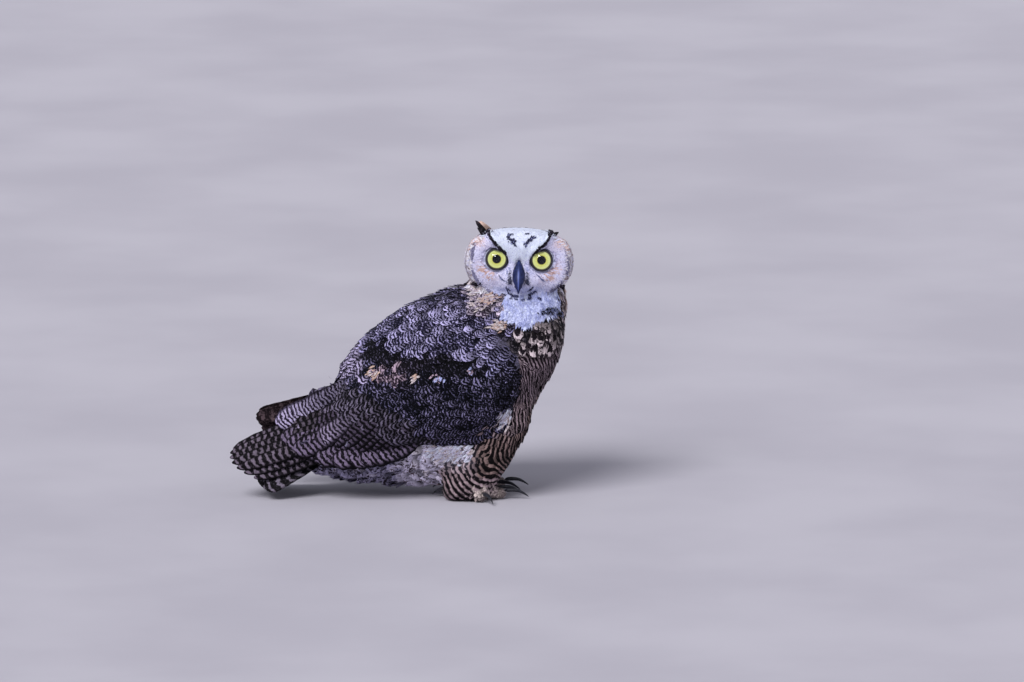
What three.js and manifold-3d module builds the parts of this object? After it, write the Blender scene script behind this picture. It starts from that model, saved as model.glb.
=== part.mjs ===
// Great horned owl, a still life-size model: it stands low on the ground with its wings folded
// and its head turned to its right. Millimetres, +Z up. The bird faces +X and its right side
// faces -Y. The origin is on the floor under the middle of the model.
import * as THREE from "three";
import { mergeVertices } from "three/addons/utils/BufferGeometryUtils.js";
import Module from "manifold-3d";

const wasm = await Module();
wasm.setup();

// ---- Driving dimensions ------------------------------------------------------------------

const gap = 0.3; // clearance between two pieces that meet
const mergeDistance = 1e-4; // vertices closer than this are one
const right = -1; // sign of Y on the bird's right side
const left = 1;

// The trunk with its coat, by stations from rump to breast: x, top and bottom heights, half width.
const trunkStations = [
  { x: -126, top: 58, bottom: 44, side: 18 },
  { x: -112, top: 92, bottom: 24, side: 38 },
  { x: -84, top: 150, bottom: 16, side: 54 },
  { x: -48, top: 199, bottom: 11, side: 68 },
  { x: 0, top: 234, bottom: 8, side: 80 },
  { x: 50, top: 256, bottom: 6, side: 86 },
  { x: 96, top: 264, bottom: 9, side: 85 },
  { x: 134, top: 262, bottom: 60, side: 80 },
  { x: 166, top: 252, bottom: 120, side: 71 },
  { x: 187, top: 232, bottom: 156, side: 58 },
  { x: 197, top: 206, bottom: 188, side: 36 },
];
const trunkTaper = 0.12; // how much narrower the section gets towards the belly
const trunkEnds = 2.2; // how soon the section is full behind the rounded ends

// The neck, by stations from the breast up into the head.
const neckStations = [
  { x: 132, y: 0, z: 186, run: 54, side: 50 },
  { x: 134, y: 0, z: 210, run: 64, side: 65 },
  { x: 136, y: 3, z: 232, run: 65, side: 61 },
  { x: 137, y: 8, z: 252, run: 61, side: 52 },
  { x: 138, y: 8, z: 272, run: 48, side: 38 },
];

// The head, in its own frame: across to the bird's left, ahead out of the face, and up.
const head = {
  place: new THREE.Vector3(138, -1, 284),
  halfWidth: 67,
  ahead: 49,
  behind: 55,
  above: 42,
  below: 41,
  turn: -90, // degrees about +Z from straight ahead
  pitch: 6, // the face looks up a little
  roll: -1.5, // and leans to the bird's left
  squareness: 0.84, // under 1 makes the ellipsoid fuller at its corners
  faceFlatness: 0.55,
  faceEdge: 2.5, // how soon the face's relief comes in from the rim of the head
};
// The relief of the face: each rise stands "height" over the plain head and fades over "width".
const brow = { height: 5, foot: 6, lowest: 10, slope: 0.8, width: 9, middle: 20, spread: 24 };
const rim = { height: 2.5, across: 58, up: 38, centre: -4, width: 0.14 };
const muzzle = { height: 7, centre: -20, squash: 0.7, width: 18 };
// Each eye shows through a round opening in a level patch of the face.
const eye = { across: 26.5, up: 3.5, ahead: 32, radius: 16, opening: 13.2, patch: 19, level: 1.5 };

// The bill's middle lines from root to point, as ahead and up in the head's frame, and how wide
// the bill is at each, as shares of its width.
const billUpper = {
  line: [[38, 2], [49, -3], [56, -13], [58, -23], [55, -34]],
  widths: [0.62, 0.95, 1, 0.72, 0.16],
  width: 14,
  depth: 17,
};
const billLower = {
  line: [[38, -19], [47, -24], [53, -31]],
  widths: [1, 0.9, 0.4],
  width: 10.8,
  depth: 6.5,
};

const tufts = {
  ear_tuft_right: { root: [-29, 26, 33], bend: [-40, 8, 44], tip: [-52, -14, 46], width: 15 },
  ear_tuft_left: { root: [30, 26, 33], bend: [38, 8, 41], tip: [47, -16, 40], width: 13 },
};
const tuftThickness = 6;
const tuftTaper = { wide: 0.85, thick: 0.7, edge: 0.6, slow: 1.6 }; // what is lost towards tip and edges

// The folded wing: its top and bottom edges from the wrist backwards, on the right side.
const wing = {
  top: [
    [134, 62, 188],
    [92, 62, 222],
    [30, 54, 224],
    [-30, 40, 202],
    [-84, 22, 158],
    [-126, 14, 112],
    [-156, 16, 80],
  ],
  bottom: [
    [139, 66, 128],
    [112, 76, 97],
    [46, 78, 77],
    [-6, 74, 73],
    [-44, 66, 62],
    [-100, 50, 62],
    [-150, 34, 70],
  ],
  bulge: 6, // how far the middle stands out beyond a straight line between the edges
  thickness: 24,
  edge: 2.4,
  sunk: -1.5, // the top edge lies in the coat of the back
  stands: 3, // the bottom edge stands off the flank
  rise: 3, // and its middle rises over both
  wristRound: 8,
  full: 0.6, // under 1 keeps the section thick close to its edges
  wristFull: 6, // how soon the wing is thick behind the wrist
  thin: 2.5, // over 1 keeps it thick until close to its tip
};

// Flight feathers: the row of tips runs from first to last, and each feather lies on the last one.
const secondaries = {
  count: 7,
  firstTip: [-150, 28, 72],
  midTip: [-96, 62, 52],
  lastTip: [-34, 78, 60],
  firstRoot: [-40, 60, 140],
  lastRoot: [62, 84, 112],
  width: 26,
  thickness: 2,
  long: 5, // facets along and across each feather
  columns: 4,
  stands: 4.5, // over the flank
};
const primaries = {
  count: 6,
  firstTip: [-205, 32, 58],
  midTip: [-207, 40, 44],
  lastTip: [-178, 50, 30],
  firstRoot: [-24, 60, 146],
  lastRoot: [0, 76, 104],
  width: 15,
  thickness: 2,
  long: 4,
  columns: 3,
  stands: 1,
};
const flightOut = new THREE.Vector3(0, 1, 0.35).normalize(); // the way a folded flight feather looks
// The left wing is carried higher and shorter than the right one, from a place behind the wrist.
const farWing = { from: -60, reach: 145, tipLift: 46, tipPull: 30, rootDrop: 26, bend: 2.2 };

const tail = {
  count: 12,
  root: [-58, 0, 77],
  length: 132,
  droop: 26, // degrees under level
  spread: 13, // degrees each side of the middle
  rootHalf: 17, // half width of the row of roots
  width: 10,
  thickness: 2,
  long: 4,
  columns: 2,
  roundness: 0.06, // how much shorter the outer feathers are
  arch: 7, // how much the outer feathers hang lower than the middle ones
};
// A feather's shaft stands over its edges by a share of its width, its tip is round, and its
// facets are longer near the root.
const feather = { pleat: 0.06, roundTip: 0.96, crowding: 1.3 };

const legAcross = 37; // of the middle of the thigh
const legSplay = 8; // how much further out the foot of the leg's feathers is
// The feathered leg with the flank feathers that hang over it, from the thigh to the floor.
const legStations = [
  { x: 132, z: 150, run: 20, side: 14 },
  { x: 128, z: 122, run: 32, side: 26 },
  { x: 118, z: 86, run: 36, side: 31 },
  { x: 98, z: 48, run: 36, side: 29 },
  { x: 77, z: 14, run: 34, side: 23 },
  { x: 68, z: -9, run: 27, side: 16 },
];
const legFull = 1.8; // how soon the leg is full behind its rounded ends
const foot = { x: 80, y: 33, ankle: 30, sole: 9, radius: 11, lean: 10 };
const toes = [
  { number: 1, heading: 194, length: 27, claw: 25 },
  { number: 2, heading: -24, length: 40, claw: 31 },
  { number: 3, heading: 4, length: 46, claw: 29 },
  { number: 4, heading: 62, length: 36, claw: 26 },
];
const toePad = { radius: 8.6, taper: 0.1, start: 2, knuckle: 0.55 };
const toeFlat = 1.3; // how much of the toe's round underside is pressed flat on the floor
// The claw's middle line: how far ahead of the toe's end, as a share of its reach, and how high.
const clawLine = [[-0.3, 10], [0.25, 12.5], [0.7, 9], [1, 2.2]];
const claw = { radius: 3.6, taper: 0.86, reach: 0.86 };
const floorBlock = { long: 900, wide: 600, deep: 100 }; // what is under the floor is cut away

// Facets round and along each kind of solid.
const facets = {
  trunk: [22, 14],
  neck: [18, 6],
  head: [26, 16],
  eye: [12, 8],
  leg: [12, 7],
  bill: [12, 9],
  foot: [8, 3],
  small: [8, 4],
  wing: [11, 6],
};

// ---- Shaping tools -----------------------------------------------------------------------

const vec = (list) => new THREE.Vector3(...list);

// A smooth run through a few values: 0 is the first of them and 1 is the last.
function through(values) {
  const points = values.map((value) => new THREE.Vector3(value, 0, 0));
  const curve = new THREE.CatmullRomCurve3(points, false, "catmullrom", 0.5);
  return (t) => curve.getPoint(t).x;
}

// A closed rounded solid. place(t, c, s, close) gives the point at t along it in the direction
// (c, s) round it, where close falls to 0 at both ends.
function rounded([around, along], place) {
  const geometry = new THREE.SphereGeometry(1, around, along);
  const position = geometry.attributes.position;
  const point = new THREE.Vector3();
  for (let i = 0; i < position.count; i++) {
    point.fromBufferAttribute(position, i);
    const radius = Math.hypot(point.x, point.z);
    const atPole = radius < 1e-6;
    const c = atPole ? 0 : point.x / radius;
    const s = atPole ? 0 : point.z / radius;
    position.setXYZ(i, ...place((1 - point.y) / 2, c, s, atPole ? 0 : radius).toArray());
  }
  return geometry;
}

// A closed thin solid. place(s, v, side) takes s and v from 0 to 1 over it, and side is -0.5 on
// its inner face and 0.5 on its outer face.
function slab(long, wide, place) {
  const geometry = new THREE.BoxGeometry(1, 1, 1, long, wide, 1);
  const position = geometry.attributes.position;
  for (let i = 0; i < position.count; i++) {
    const point = place(position.getX(i) + 0.5, position.getY(i) + 0.5, position.getZ(i));
    position.setXYZ(i, ...point.toArray());
  }
  return geometry;
}

const hornFull = 1.6; // how soon a horn is full behind its rounded ends

// A round tapering solid along a curve, "flat" times as deep along flatWay as it is wide.
function horn(points, radius, taper, detail, flat = 1, flatWay = new THREE.Vector3(0, 0, 1)) {
  const curve = new THREE.CatmullRomCurve3(points);
  return rounded(detail, (t, c, s, close) => {
    const tangent = curve.getTangent(t);
    const a = new THREE.Vector3().crossVectors(flatWay, tangent).normalize();
    const b = new THREE.Vector3().crossVectors(tangent, a);
    const size = radius * taper(t) * Math.min(1, close * hornFull);
    return curve.getPoint(t).addScaledVector(a, c * size).addScaledVector(b, s * size * flat);
  });
}

// A row of overlapping flight feathers as one pleated blade. root(v) and tip(v) run along the
// row, "out" is the way its outer face looks, and each feather ends in a round tip.
function pleated(row, root, tip, out, lay = (point) => point) {
  const { count, columns, width, thickness, long } = row;
  return slab(long, count * columns, (s, v, face) => {
    const across = 2 * ((v * count) % 1) - 1; // -1 and 1 at a feather's edges, 0 on its shaft
    const from = root(v);
    const run = tip(v).sub(from);
    const short = 0.5 * width * (1 - Math.sqrt(1 - feather.roundTip * across * across));
    const along = (1 - (1 - s) ** feather.crowding) * (1 - short / run.length());
    const crown = feather.pleat * width * (1 - across * across);
    return lay(from.addScaledVector(run, along)).addScaledVector(out(v), crown + face * thickness);
  });
}

// The corners of each face of an indexed geometry, wound so that the solid faces outwards.
function facesOf(geometry) {
  const position = geometry.attributes.position;
  const corner = (i) => new THREE.Vector3().fromBufferAttribute(position, i);
  const index = geometry.index.array;
  const faces = [];
  let volume = 0;
  for (let i = 0; i < index.length; i += 3) {
    const [a, b, c] = [index[i], index[i + 1], index[i + 2]];
    if (a === b || b === c || c === a) continue;
    faces.push([a, b, c]);
    volume += corner(a).dot(corner(b).cross(corner(c)));
  }
  return volume < 0 ? faces.map(([a, b, c]) => [a, c, b]) : faces;
}

const sharpest = 0.3; // limits how far a corner moves where its faces meet at a sharp edge

// Moves every face of the geometry outwards by "swell".
function swollen(geometry, faces, swell) {
  const position = geometry.attributes.position;
  const corner = (i) => new THREE.Vector3().fromBufferAttribute(position, i);
  const normals = Array.from({ length: position.count }, () => []);
  for (const face of faces) {
    const [a, b, c] = face.map(corner);
    const normal = new THREE.Triangle(a, b, c).getNormal(new THREE.Vector3());
    face.forEach((i, k) => {
      const others = [face[(k + 1) % 3], face[(k + 2) % 3]].map((j) => corner(j).sub(corner(i)));
      normals[i].push({ normal, angle: others[0].angleTo(others[1]) });
    });
  }
  normals.forEach((around, i) => {
    const way = new THREE.Vector3();
    for (const { normal, angle } of around) way.addScaledVector(normal, angle);
    way.normalize();
    const least = Math.min(...around.map(({ normal }) => normal.dot(way)));
    const moved = corner(i).addScaledVector(way, swell / Math.max(least, sharpest));
    position.setXYZ(i, moved.x, moved.y, moved.z);
  });
}

// The geometry as a manifold solid, larger all round by "swell".
function toSolid(geometry, swell = 0) {
  const bare = geometry.clone();
  bare.deleteAttribute("normal");
  bare.deleteAttribute("uv");
  const merged = mergeVertices(bare, mergeDistance);
  const faces = facesOf(merged);
  if (swell) swollen(merged, faces, swell);
  return new wasm.Manifold(
    new wasm.Mesh({
      numProp: 3,
      vertProperties: merged.attributes.position.array,
      triVerts: new Uint32Array(faces.flat()),
    }),
  );
}

const largest = (solid) =>
  solid.decompose().reduce((best, body) => (body.volume() > best.volume() ? body : best));

// ---- Body --------------------------------------------------------------------------------

const trunkCurves = Object.fromEntries(
  ["x", "top", "bottom", "side"].map((key) => [
    key,
    through(trunkStations.map((station) => station[key])),
  ]),
);

// The trunk's section at t: its middle height, half height and half width.
function trunkSection(t) {
  const full = Math.min(1, 2 * Math.sqrt(t * (1 - t)) * trunkEnds);
  const [top, bottom] = [trunkCurves.top(t), trunkCurves.bottom(t)];
  return {
    middle: (top + bottom) / 2,
    height: ((top - bottom) / 2) * full,
    side: trunkCurves.side(t) * full,
  };
}

function trunkShape() {
  return rounded(facets.trunk, (t, c, s) => {
    const { middle, height, side } = trunkSection(t);
    return new THREE.Vector3(trunkCurves.x(t), side * c * (1 + trunkTaper * s), middle + height * s);
  });
}

// How far the trunk's flank stands out from the middle plane at a place, or 0 beside the trunk.
function flankAt(x, z) {
  let [from, to] = [0, 1];
  while (to - from > 1e-6) {
    const t = (from + to) / 2;
    if (trunkCurves.x(t) < x) from = t;
    else to = t;
  }
  const { middle, height, side } = trunkSection(from);
  const s = height > 0 ? (z - middle) / height : 2;
  return Math.abs(s) < 1 ? side * Math.sqrt(1 - s * s) * (1 + trunkTaper * s) : 0;
}

function neckShape() {
  const [x, y, z, run, side] = ["x", "y", "z", "run", "side"].map((key) =>
    through(neckStations.map((station) => station[key])),
  );
  return rounded(facets.neck, (t, c, s, close) => {
    const full = Math.min(1, close * trunkEnds);
    return new THREE.Vector3(x(t) + run(t) * c * full, y(t) + side(t) * s * full, z(t));
  });
}

// ---- Head --------------------------------------------------------------------------------

const headFrame = new THREE.Object3D();
headFrame.position.copy(head.place);
headFrame.rotation.order = "ZYX";
headFrame.rotation.set(
  THREE.MathUtils.degToRad(head.roll),
  THREE.MathUtils.degToRad(-head.pitch),
  THREE.MathUtils.degToRad(head.turn),
);
headFrame.updateMatrix();

// A point given across to the bird's left, ahead out of the face, and up.
const inHead = ([across, ahead, up]) =>
  new THREE.Vector3(ahead, across, up).applyMatrix4(headFrame.matrix);
const headWay = ([across, ahead, up]) =>
  new THREE.Vector3(ahead, across, up).transformDirection(headFrame.matrix);

const bell = (distance, width) => Math.exp(-((distance / width) ** 2));

// The face at a place on it, given how far ahead the plain head is there: brows rise from the
// bill to the ear tufts, a rim runs round the face and the feathers swell round the bill.
function faceAt(across, up, ahead) {
  const side = Math.abs(across);
  const browLine = brow.lowest + brow.slope * (side - brow.foot);
  const rimAt = Math.hypot(side / rim.across, (up - rim.centre) / rim.up);
  const relief =
    brow.height * bell(up - browLine, brow.width) * bell(side - brow.middle, brow.spread) +
    rim.height * bell(rimAt - 1, rim.width) +
    muzzle.height * bell(Math.hypot(side, (up - muzzle.centre) * muzzle.squash), muzzle.width);
  const patch = bell(Math.hypot(side - eye.across, up - eye.up), eye.patch);
  const opening = eye.ahead + Math.sqrt(eye.radius ** 2 - eye.opening ** 2);
  return THREE.MathUtils.lerp(ahead + relief, opening, Math.min(1, eye.level * patch));
}

function headShape() {
  const fuller = (value, power) => Math.sign(value) * Math.abs(value) ** power;
  return rounded(facets.head, (t, c, s, close) => {
    const poleUp = 1 - 2 * t;
    const reach = poleUp > 0 ? head.above : head.below;
    const across = head.halfWidth * fuller(c * close, head.squareness);
    const up = reach * fuller(poleUp, head.squareness);
    const depth = s * close;
    if (depth <= 0) return inHead([across, head.behind * depth, up]);
    const plain = head.ahead * fuller(depth, head.faceFlatness);
    const faced = Math.min(1, head.faceEdge * depth);
    const ahead = THREE.MathUtils.lerp(plain, faceAt(across, up, plain), faced);
    return inHead([across, ahead, up]);
  });
}

function eyeShape(side) {
  const globe = new THREE.SphereGeometry(eye.radius, ...facets.eye);
  const centre = inHead([side * eye.across, eye.ahead, eye.up]);
  return globe.translate(centre.x, centre.y, centre.z);
}

// One half of the bill, which narrows to its point; "deep" is the way that its depth is measured.
function billShape({ line, widths, width, depth }, detail, deep) {
  const points = line.map(([ahead, up]) => inHead([0, ahead, up]));
  return horn(points, width / 2, through(widths), detail, depth / width, headWay(deep));
}

function tuftShape({ root, bend, tip, width }) {
  const curve = new THREE.QuadraticBezierCurve3(inHead(root), inHead(bend), inHead(tip));
  const across = headWay([1, 0, 0]);
  return slab(6, 2, (s, v, side) => {
    const run = curve.getTangent(s);
    const out = new THREE.Vector3().crossVectors(run, across).normalize();
    const breadth = width * (1 - tuftTaper.wide * s ** tuftTaper.slow);
    const edge = tuftTaper.edge * Math.abs(2 * v - 1);
    const thick = tuftThickness * (1 - tuftTaper.thick * s) * (1 - edge);
    return curve
      .getPoint(s)
      .addScaledVector(across, (v - 0.5) * breadth)
      .addScaledVector(out, side * thick);
  });
}

// ---- Wings -------------------------------------------------------------------------------

// A point listed for the right wing, on the side asked for. Behind the wrist the left wing
// rises and draws in towards its tip.
function onWing([x, y, z], side) {
  const along = THREE.MathUtils.clamp((farWing.from - x) / farWing.reach, 0, 1);
  const back = side === left ? along ** farWing.bend : 0;
  return new THREE.Vector3(x + back * farWing.tipPull, side * y, z + back * farWing.tipLift);
}

function wingShape(side) {
  const edges = [wing.top, wing.bottom].map(
    (edge) => new THREE.CatmullRomCurve3(edge.map((point) => onWing(point, side))),
  );
  return slab(...facets.wing, (s, v, face) => {
    const [top, bottom] = edges.map((edge) => edge.getPoint(s));
    const point = top.lerp(bottom, v);
    const arch = Math.sin(Math.PI * v) ** wing.full;
    const behindWrist = THREE.MathUtils.clamp(wing.wristFull * s, 0.02, 1);
    const body = Math.sqrt(behindWrist) * (1 - s ** wing.thin);
    const thick = wing.edge + (wing.thickness - wing.edge) * arch * body;
    const free = side * point.y + wing.bulge * arch * (1 - s);
    const offset = THREE.MathUtils.lerp(wing.sunk, wing.stands, v * Math.min(1, 4 * s));
    const laid = flankAt(point.x, point.z) + offset;
    point.y = side * (Math.max(free, laid + wing.rise * arch * body) + face * thick);
    point.x += wing.wristRound * arch * (1 - behindWrist);
    return point;
  });
}

// A row of flight feathers, from the innermost to the outermost.
function featherRow(row, side) {
  const tips = new THREE.QuadraticBezierCurve3(
    onWing(row.firstTip, side),
    onWing(row.midTip, side),
    onWing(row.lastTip, side),
  );
  const drop = new THREE.Vector3(0, 0, side === left ? -farWing.rootDrop : 0);
  const ends = [row.firstRoot, row.lastRoot].map((point) => onWing(point, side).add(drop));
  const roots = new THREE.LineCurve3(...ends);
  const out = new THREE.Vector3(flightOut.x, side * flightOut.y, flightOut.z);
  const lay = (point) => {
    point.y = side * Math.max(side * point.y, flankAt(point.x, point.z) + row.stands);
    return point;
  };
  return pleated(row, (v) => roots.getPoint(v), (v) => tips.getPoint(v), () => out, lay);
}

// ---- Tail --------------------------------------------------------------------------------

// The folded tail fans out a little, and its outer feathers lie lower than the middle ones.
function tailShape() {
  const droop = THREE.MathUtils.degToRad(tail.droop);
  const sag = (place) => -tail.arch * place * place;
  const root = (v) => {
    const place = 2 * v - 1;
    return vec(tail.root).add(new THREE.Vector3(0, tail.rootHalf * place, sag(place)));
  };
  const tip = (v) => {
    const place = 2 * v - 1;
    const angle = THREE.MathUtils.degToRad(tail.spread * place);
    const level = Math.cos(droop) * Math.cos(angle);
    const run = new THREE.Vector3(-level, Math.sin(angle), -Math.sin(droop));
    const reach = tail.length * (1 - tail.roundness * place * place);
    return root(v).addScaledVector(run, reach).add(new THREE.Vector3(0, 0, sag(place)));
  };
  const out = (v) => new THREE.Vector3(-Math.sin(droop), 0.5 * (2 * v - 1), Math.cos(droop));
  return pleated(tail, root, tip, (v) => out(v).normalize());
}

// ---- Legs and feet -----------------------------------------------------------------------

function legShape(side) {
  const [x, z, run, half] = ["x", "z", "run", "side"].map((key) =>
    through(legStations.map((station) => station[key])),
  );
  return rounded(facets.leg, (t, c, s, close) => {
    const full = Math.min(1, close * legFull);
    return new THREE.Vector3(
      x(t) + run(t) * c * full,
      side * (legAcross + legSplay * t) + half(t) * s * full,
      z(t),
    );
  });
}

function footShape(side) {
  const y = side * foot.y;
  const points = [
    [foot.x - foot.lean, y, foot.ankle],
    [foot.x - foot.lean / 2, y, foot.ankle / 2],
    [foot.x, y, foot.sole],
  ].map(vec);
  return horn(points, foot.radius, () => 1, facets.foot, 1, new THREE.Vector3(0, 1, 0));
}

// A toe's root, end and direction on the floor.
function toeLine(toe, side) {
  const heading = THREE.MathUtils.degToRad(toe.heading);
  const run = new THREE.Vector3(Math.cos(heading), side * Math.sin(heading), 0);
  const root = new THREE.Vector3(foot.x, side * foot.y, toePad.radius - toeFlat);
  return { root, run, end: root.clone().addScaledVector(run, toe.length) };
}

function toeShape(toe, side) {
  const { root, run, end } = toeLine(toe, side);
  const start = root.clone().addScaledVector(run, toePad.start);
  const knuckle = root.clone().lerp(end, toePad.knuckle);
  return horn([start, knuckle, end], toePad.radius, (t) => 1 - toePad.taper * t, facets.small);
}

function clawShape(toe, side) {
  const { run, end } = toeLine(toe, side);
  const reach = toe.claw * claw.reach;
  const points = clawLine.map(([ahead, z]) => end.clone().addScaledVector(run, ahead * reach).setZ(z));
  return horn(points, claw.radius, (t) => 1 - claw.taper * t, facets.small);
}

// ---- Materials ---------------------------------------------------------------------------

const finish = (color, roughness) =>
  new THREE.MeshStandardMaterial({ color, roughness, metalness: 0 });
const materials = {
  mantle: finish(0x54495f, 0.85),
  breast: finish(0x8b776f, 0.85),
  face: finish(0xcfcad8, 0.9),
  tuft: finish(0x2e2630, 0.85),
  flight: finish(0x5a4e58, 0.75),
  iris: finish(0xd0cf4e, 0.15),
  horn: finish(0x32364a, 0.35),
  toe: finish(0xa8957f, 0.9),
};

// ---- Pieces ------------------------------------------------------------------------------

// Each piece: its shape, its material, and the pieces that it makes room for.
const pieces = {
  bill_upper: {
    shape: billShape(billUpper, facets.bill, [0, 1, 0]),
    material: "horn",
    room: [],
  },
  bill_lower: {
    shape: billShape(billLower, facets.small, [0, 0, 1]),
    material: "horn",
    room: ["bill_upper"],
  },
};
for (const [name, shape] of Object.entries(tufts)) {
  pieces[name] = { shape: tuftShape(shape), material: "tuft", room: [] };
}

const bodyRoom = [];
for (const [name, side] of Object.entries({ right, left })) {
  pieces[`eye_${name}`] = { shape: eyeShape(side), material: "iris", room: [] };
  pieces[`wing_${name}`] = { shape: wingShape(side), material: "mantle", room: [] };
  pieces[`secondaries_${name}`] = {
    shape: featherRow(secondaries, side),
    material: "flight",
    room: [`wing_${name}`],
  };
  pieces[`primaries_${name}`] = {
    shape: featherRow(primaries, side),
    material: "flight",
    room: [`wing_${name}`, `secondaries_${name}`],
  };
  bodyRoom.push(`wing_${name}`, `secondaries_${name}`, `primaries_${name}`);
}

const headRoom = ["eye_right", "eye_left", "bill_upper", "bill_lower", ...Object.keys(tufts)];
pieces.head = { shape: headShape(), material: "face", room: headRoom };
pieces.neck = { shape: neckShape(), material: "face", room: ["head"] };

const feetRoom = [];
for (const [name, side] of Object.entries({ right, left })) {
  pieces[`foot_${name}`] = { shape: footShape(side), material: "toe", room: [] };
  feetRoom.push(`foot_${name}`);
  toes.forEach((toe, i) => {
    const inner = toes.slice(0, i).map(({ number }) => `toe_${name}_${number}`);
    pieces[`claw_${name}_${toe.number}`] = {
      shape: clawShape(toe, side),
      material: "horn",
      room: [],
    };
    pieces[`toe_${name}_${toe.number}`] = {
      shape: toeShape(toe, side),
      material: "toe",
      room: [`claw_${name}_${toe.number}`, `foot_${name}`, ...inner],
    };
    feetRoom.push(`toe_${name}_${toe.number}`, `claw_${name}_${toe.number}`);
  });
}

pieces.trunk = {
  shape: trunkShape(),
  material: "breast",
  room: ["neck", "head", ...bodyRoom, ...feetRoom],
};
pieces.tail = { shape: tailShape(), material: "flight", room: ["trunk", ...bodyRoom] };
for (const [name, side] of Object.entries({ right, left })) {
  pieces[`leg_${name}`] = {
    shape: legShape(side),
    material: "breast",
    room: ["trunk", "tail", ...bodyRoom, ...feetRoom],
  };
}

const { long, wide, deep } = floorBlock;
const underFloor = toSolid(new THREE.BoxGeometry(long, wide, deep).translate(0, 0, -deep / 2));

function meshOf(name, { shape, material, room }) {
  let solid = toSolid(shape).subtract(underFloor);
  for (const other of room) solid = solid.subtract(toSolid(pieces[other].shape, gap));
  const mesh = largest(solid).getMesh();
  const geometry = new THREE.BufferGeometry();
  geometry.setAttribute("position", new THREE.BufferAttribute(mesh.vertProperties, 3));
  geometry.setIndex(new THREE.BufferAttribute(mesh.triVerts, 1));
  const made = new THREE.Mesh(geometry, materials[material]);
  made.name = name;
  return made;
}

const bird = new THREE.Group();
for (const [name, piece] of Object.entries(pieces)) bird.add(meshOf(name, piece));

// The origin goes to the floor under the middle of the model's box.
const box = new THREE.Box3().setFromObject(bird);
const middle = box.getCenter(new THREE.Vector3());
bird.position.set(-middle.x, -middle.y, -box.min.z);

const owl = new THREE.Group();
owl.add(bird);

export default owl;
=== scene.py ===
import math
import time

import bpy
import numpy as np
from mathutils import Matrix, Vector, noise
from mathutils.bvhtree import BVHTree


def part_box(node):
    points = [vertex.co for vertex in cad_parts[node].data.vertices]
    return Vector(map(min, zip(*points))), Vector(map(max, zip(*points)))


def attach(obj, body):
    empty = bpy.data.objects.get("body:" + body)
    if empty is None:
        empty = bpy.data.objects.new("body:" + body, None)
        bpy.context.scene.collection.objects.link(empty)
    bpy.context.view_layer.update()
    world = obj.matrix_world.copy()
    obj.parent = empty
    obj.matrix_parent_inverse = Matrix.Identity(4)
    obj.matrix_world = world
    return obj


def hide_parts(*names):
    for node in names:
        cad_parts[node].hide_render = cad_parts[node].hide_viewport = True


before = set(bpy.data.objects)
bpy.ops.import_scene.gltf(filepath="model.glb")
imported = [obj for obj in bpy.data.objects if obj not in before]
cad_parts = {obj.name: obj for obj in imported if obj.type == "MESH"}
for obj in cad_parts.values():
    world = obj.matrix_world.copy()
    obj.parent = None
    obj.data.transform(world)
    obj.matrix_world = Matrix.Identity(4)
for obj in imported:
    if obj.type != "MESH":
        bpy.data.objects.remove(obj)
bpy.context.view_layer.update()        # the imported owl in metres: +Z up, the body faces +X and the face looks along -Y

started = time.time()
mm = 0.001               # every size below is in millimetres, and makeMesh turns them into metres

for spare in ("Cube", "Light", "Camera"):            # what a new Blender file comes with
    if spare in bpy.data.objects:
        bpy.data.objects.remove(bpy.data.objects[spare])


def tell(stage):
    print(f"{time.time() - started:6.1f} s  {stage}")


# Small helpers on arrays of points

def unit(v):
    return v / np.maximum(np.linalg.norm(v, axis=-1, keepdims=True), 1e-9)


def ramp(low, high, x):
    t = np.clip((np.asarray(x, float) - low) / (high - low), 0, 1)
    return t * t * (3 - 2 * t)


def bell(x, width):
    return np.exp(-(np.asarray(x, float) / width) ** 2)


def mix(a, b, t):
    return a + (b - a) * t


def dot(a, b):
    return (a * b).sum(-1, keepdims=True)


def linear(colour):
    c = np.array(colour, float) / 255
    return np.where(c <= 0.04045, c / 12.92, ((c + 0.055) / 1.055) ** 2.4)


def boxOf(node):
    return [np.array(corner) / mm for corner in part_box(node)]


def middleOf(node):
    return sum(boxOf(node)) / 2


# The head's own frame: across to the bird's left, ahead out of the face, and up

headPose = {"pitch": 6, "eyeAhead": 32, "eyeUp": 3.5}


def findHead():
    rightEye, leftEye = middleOf("eye_right"), middleOf("eye_left")
    across = unit(leftEye - rightEye)
    level = unit(np.array([0, 0, 1.0]) - across * across[2])
    forward = np.cross(across, level)
    pitch = math.radians(headPose["pitch"])
    ahead = forward * math.cos(pitch) + level * math.sin(pitch)
    up = level * math.cos(pitch) - forward * math.sin(pitch)
    centre = (rightEye + leftEye) / 2 - ahead * headPose["eyeAhead"] - up * headPose["eyeUp"]
    return centre, np.array([across, ahead, up])


headCentre, headAxes = findHead()


def toHead(points):
    return (points - headCentre) @ headAxes.T


def fromHead(points):
    return headCentre + np.asarray(points, float) @ headAxes


# Meshes

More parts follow.
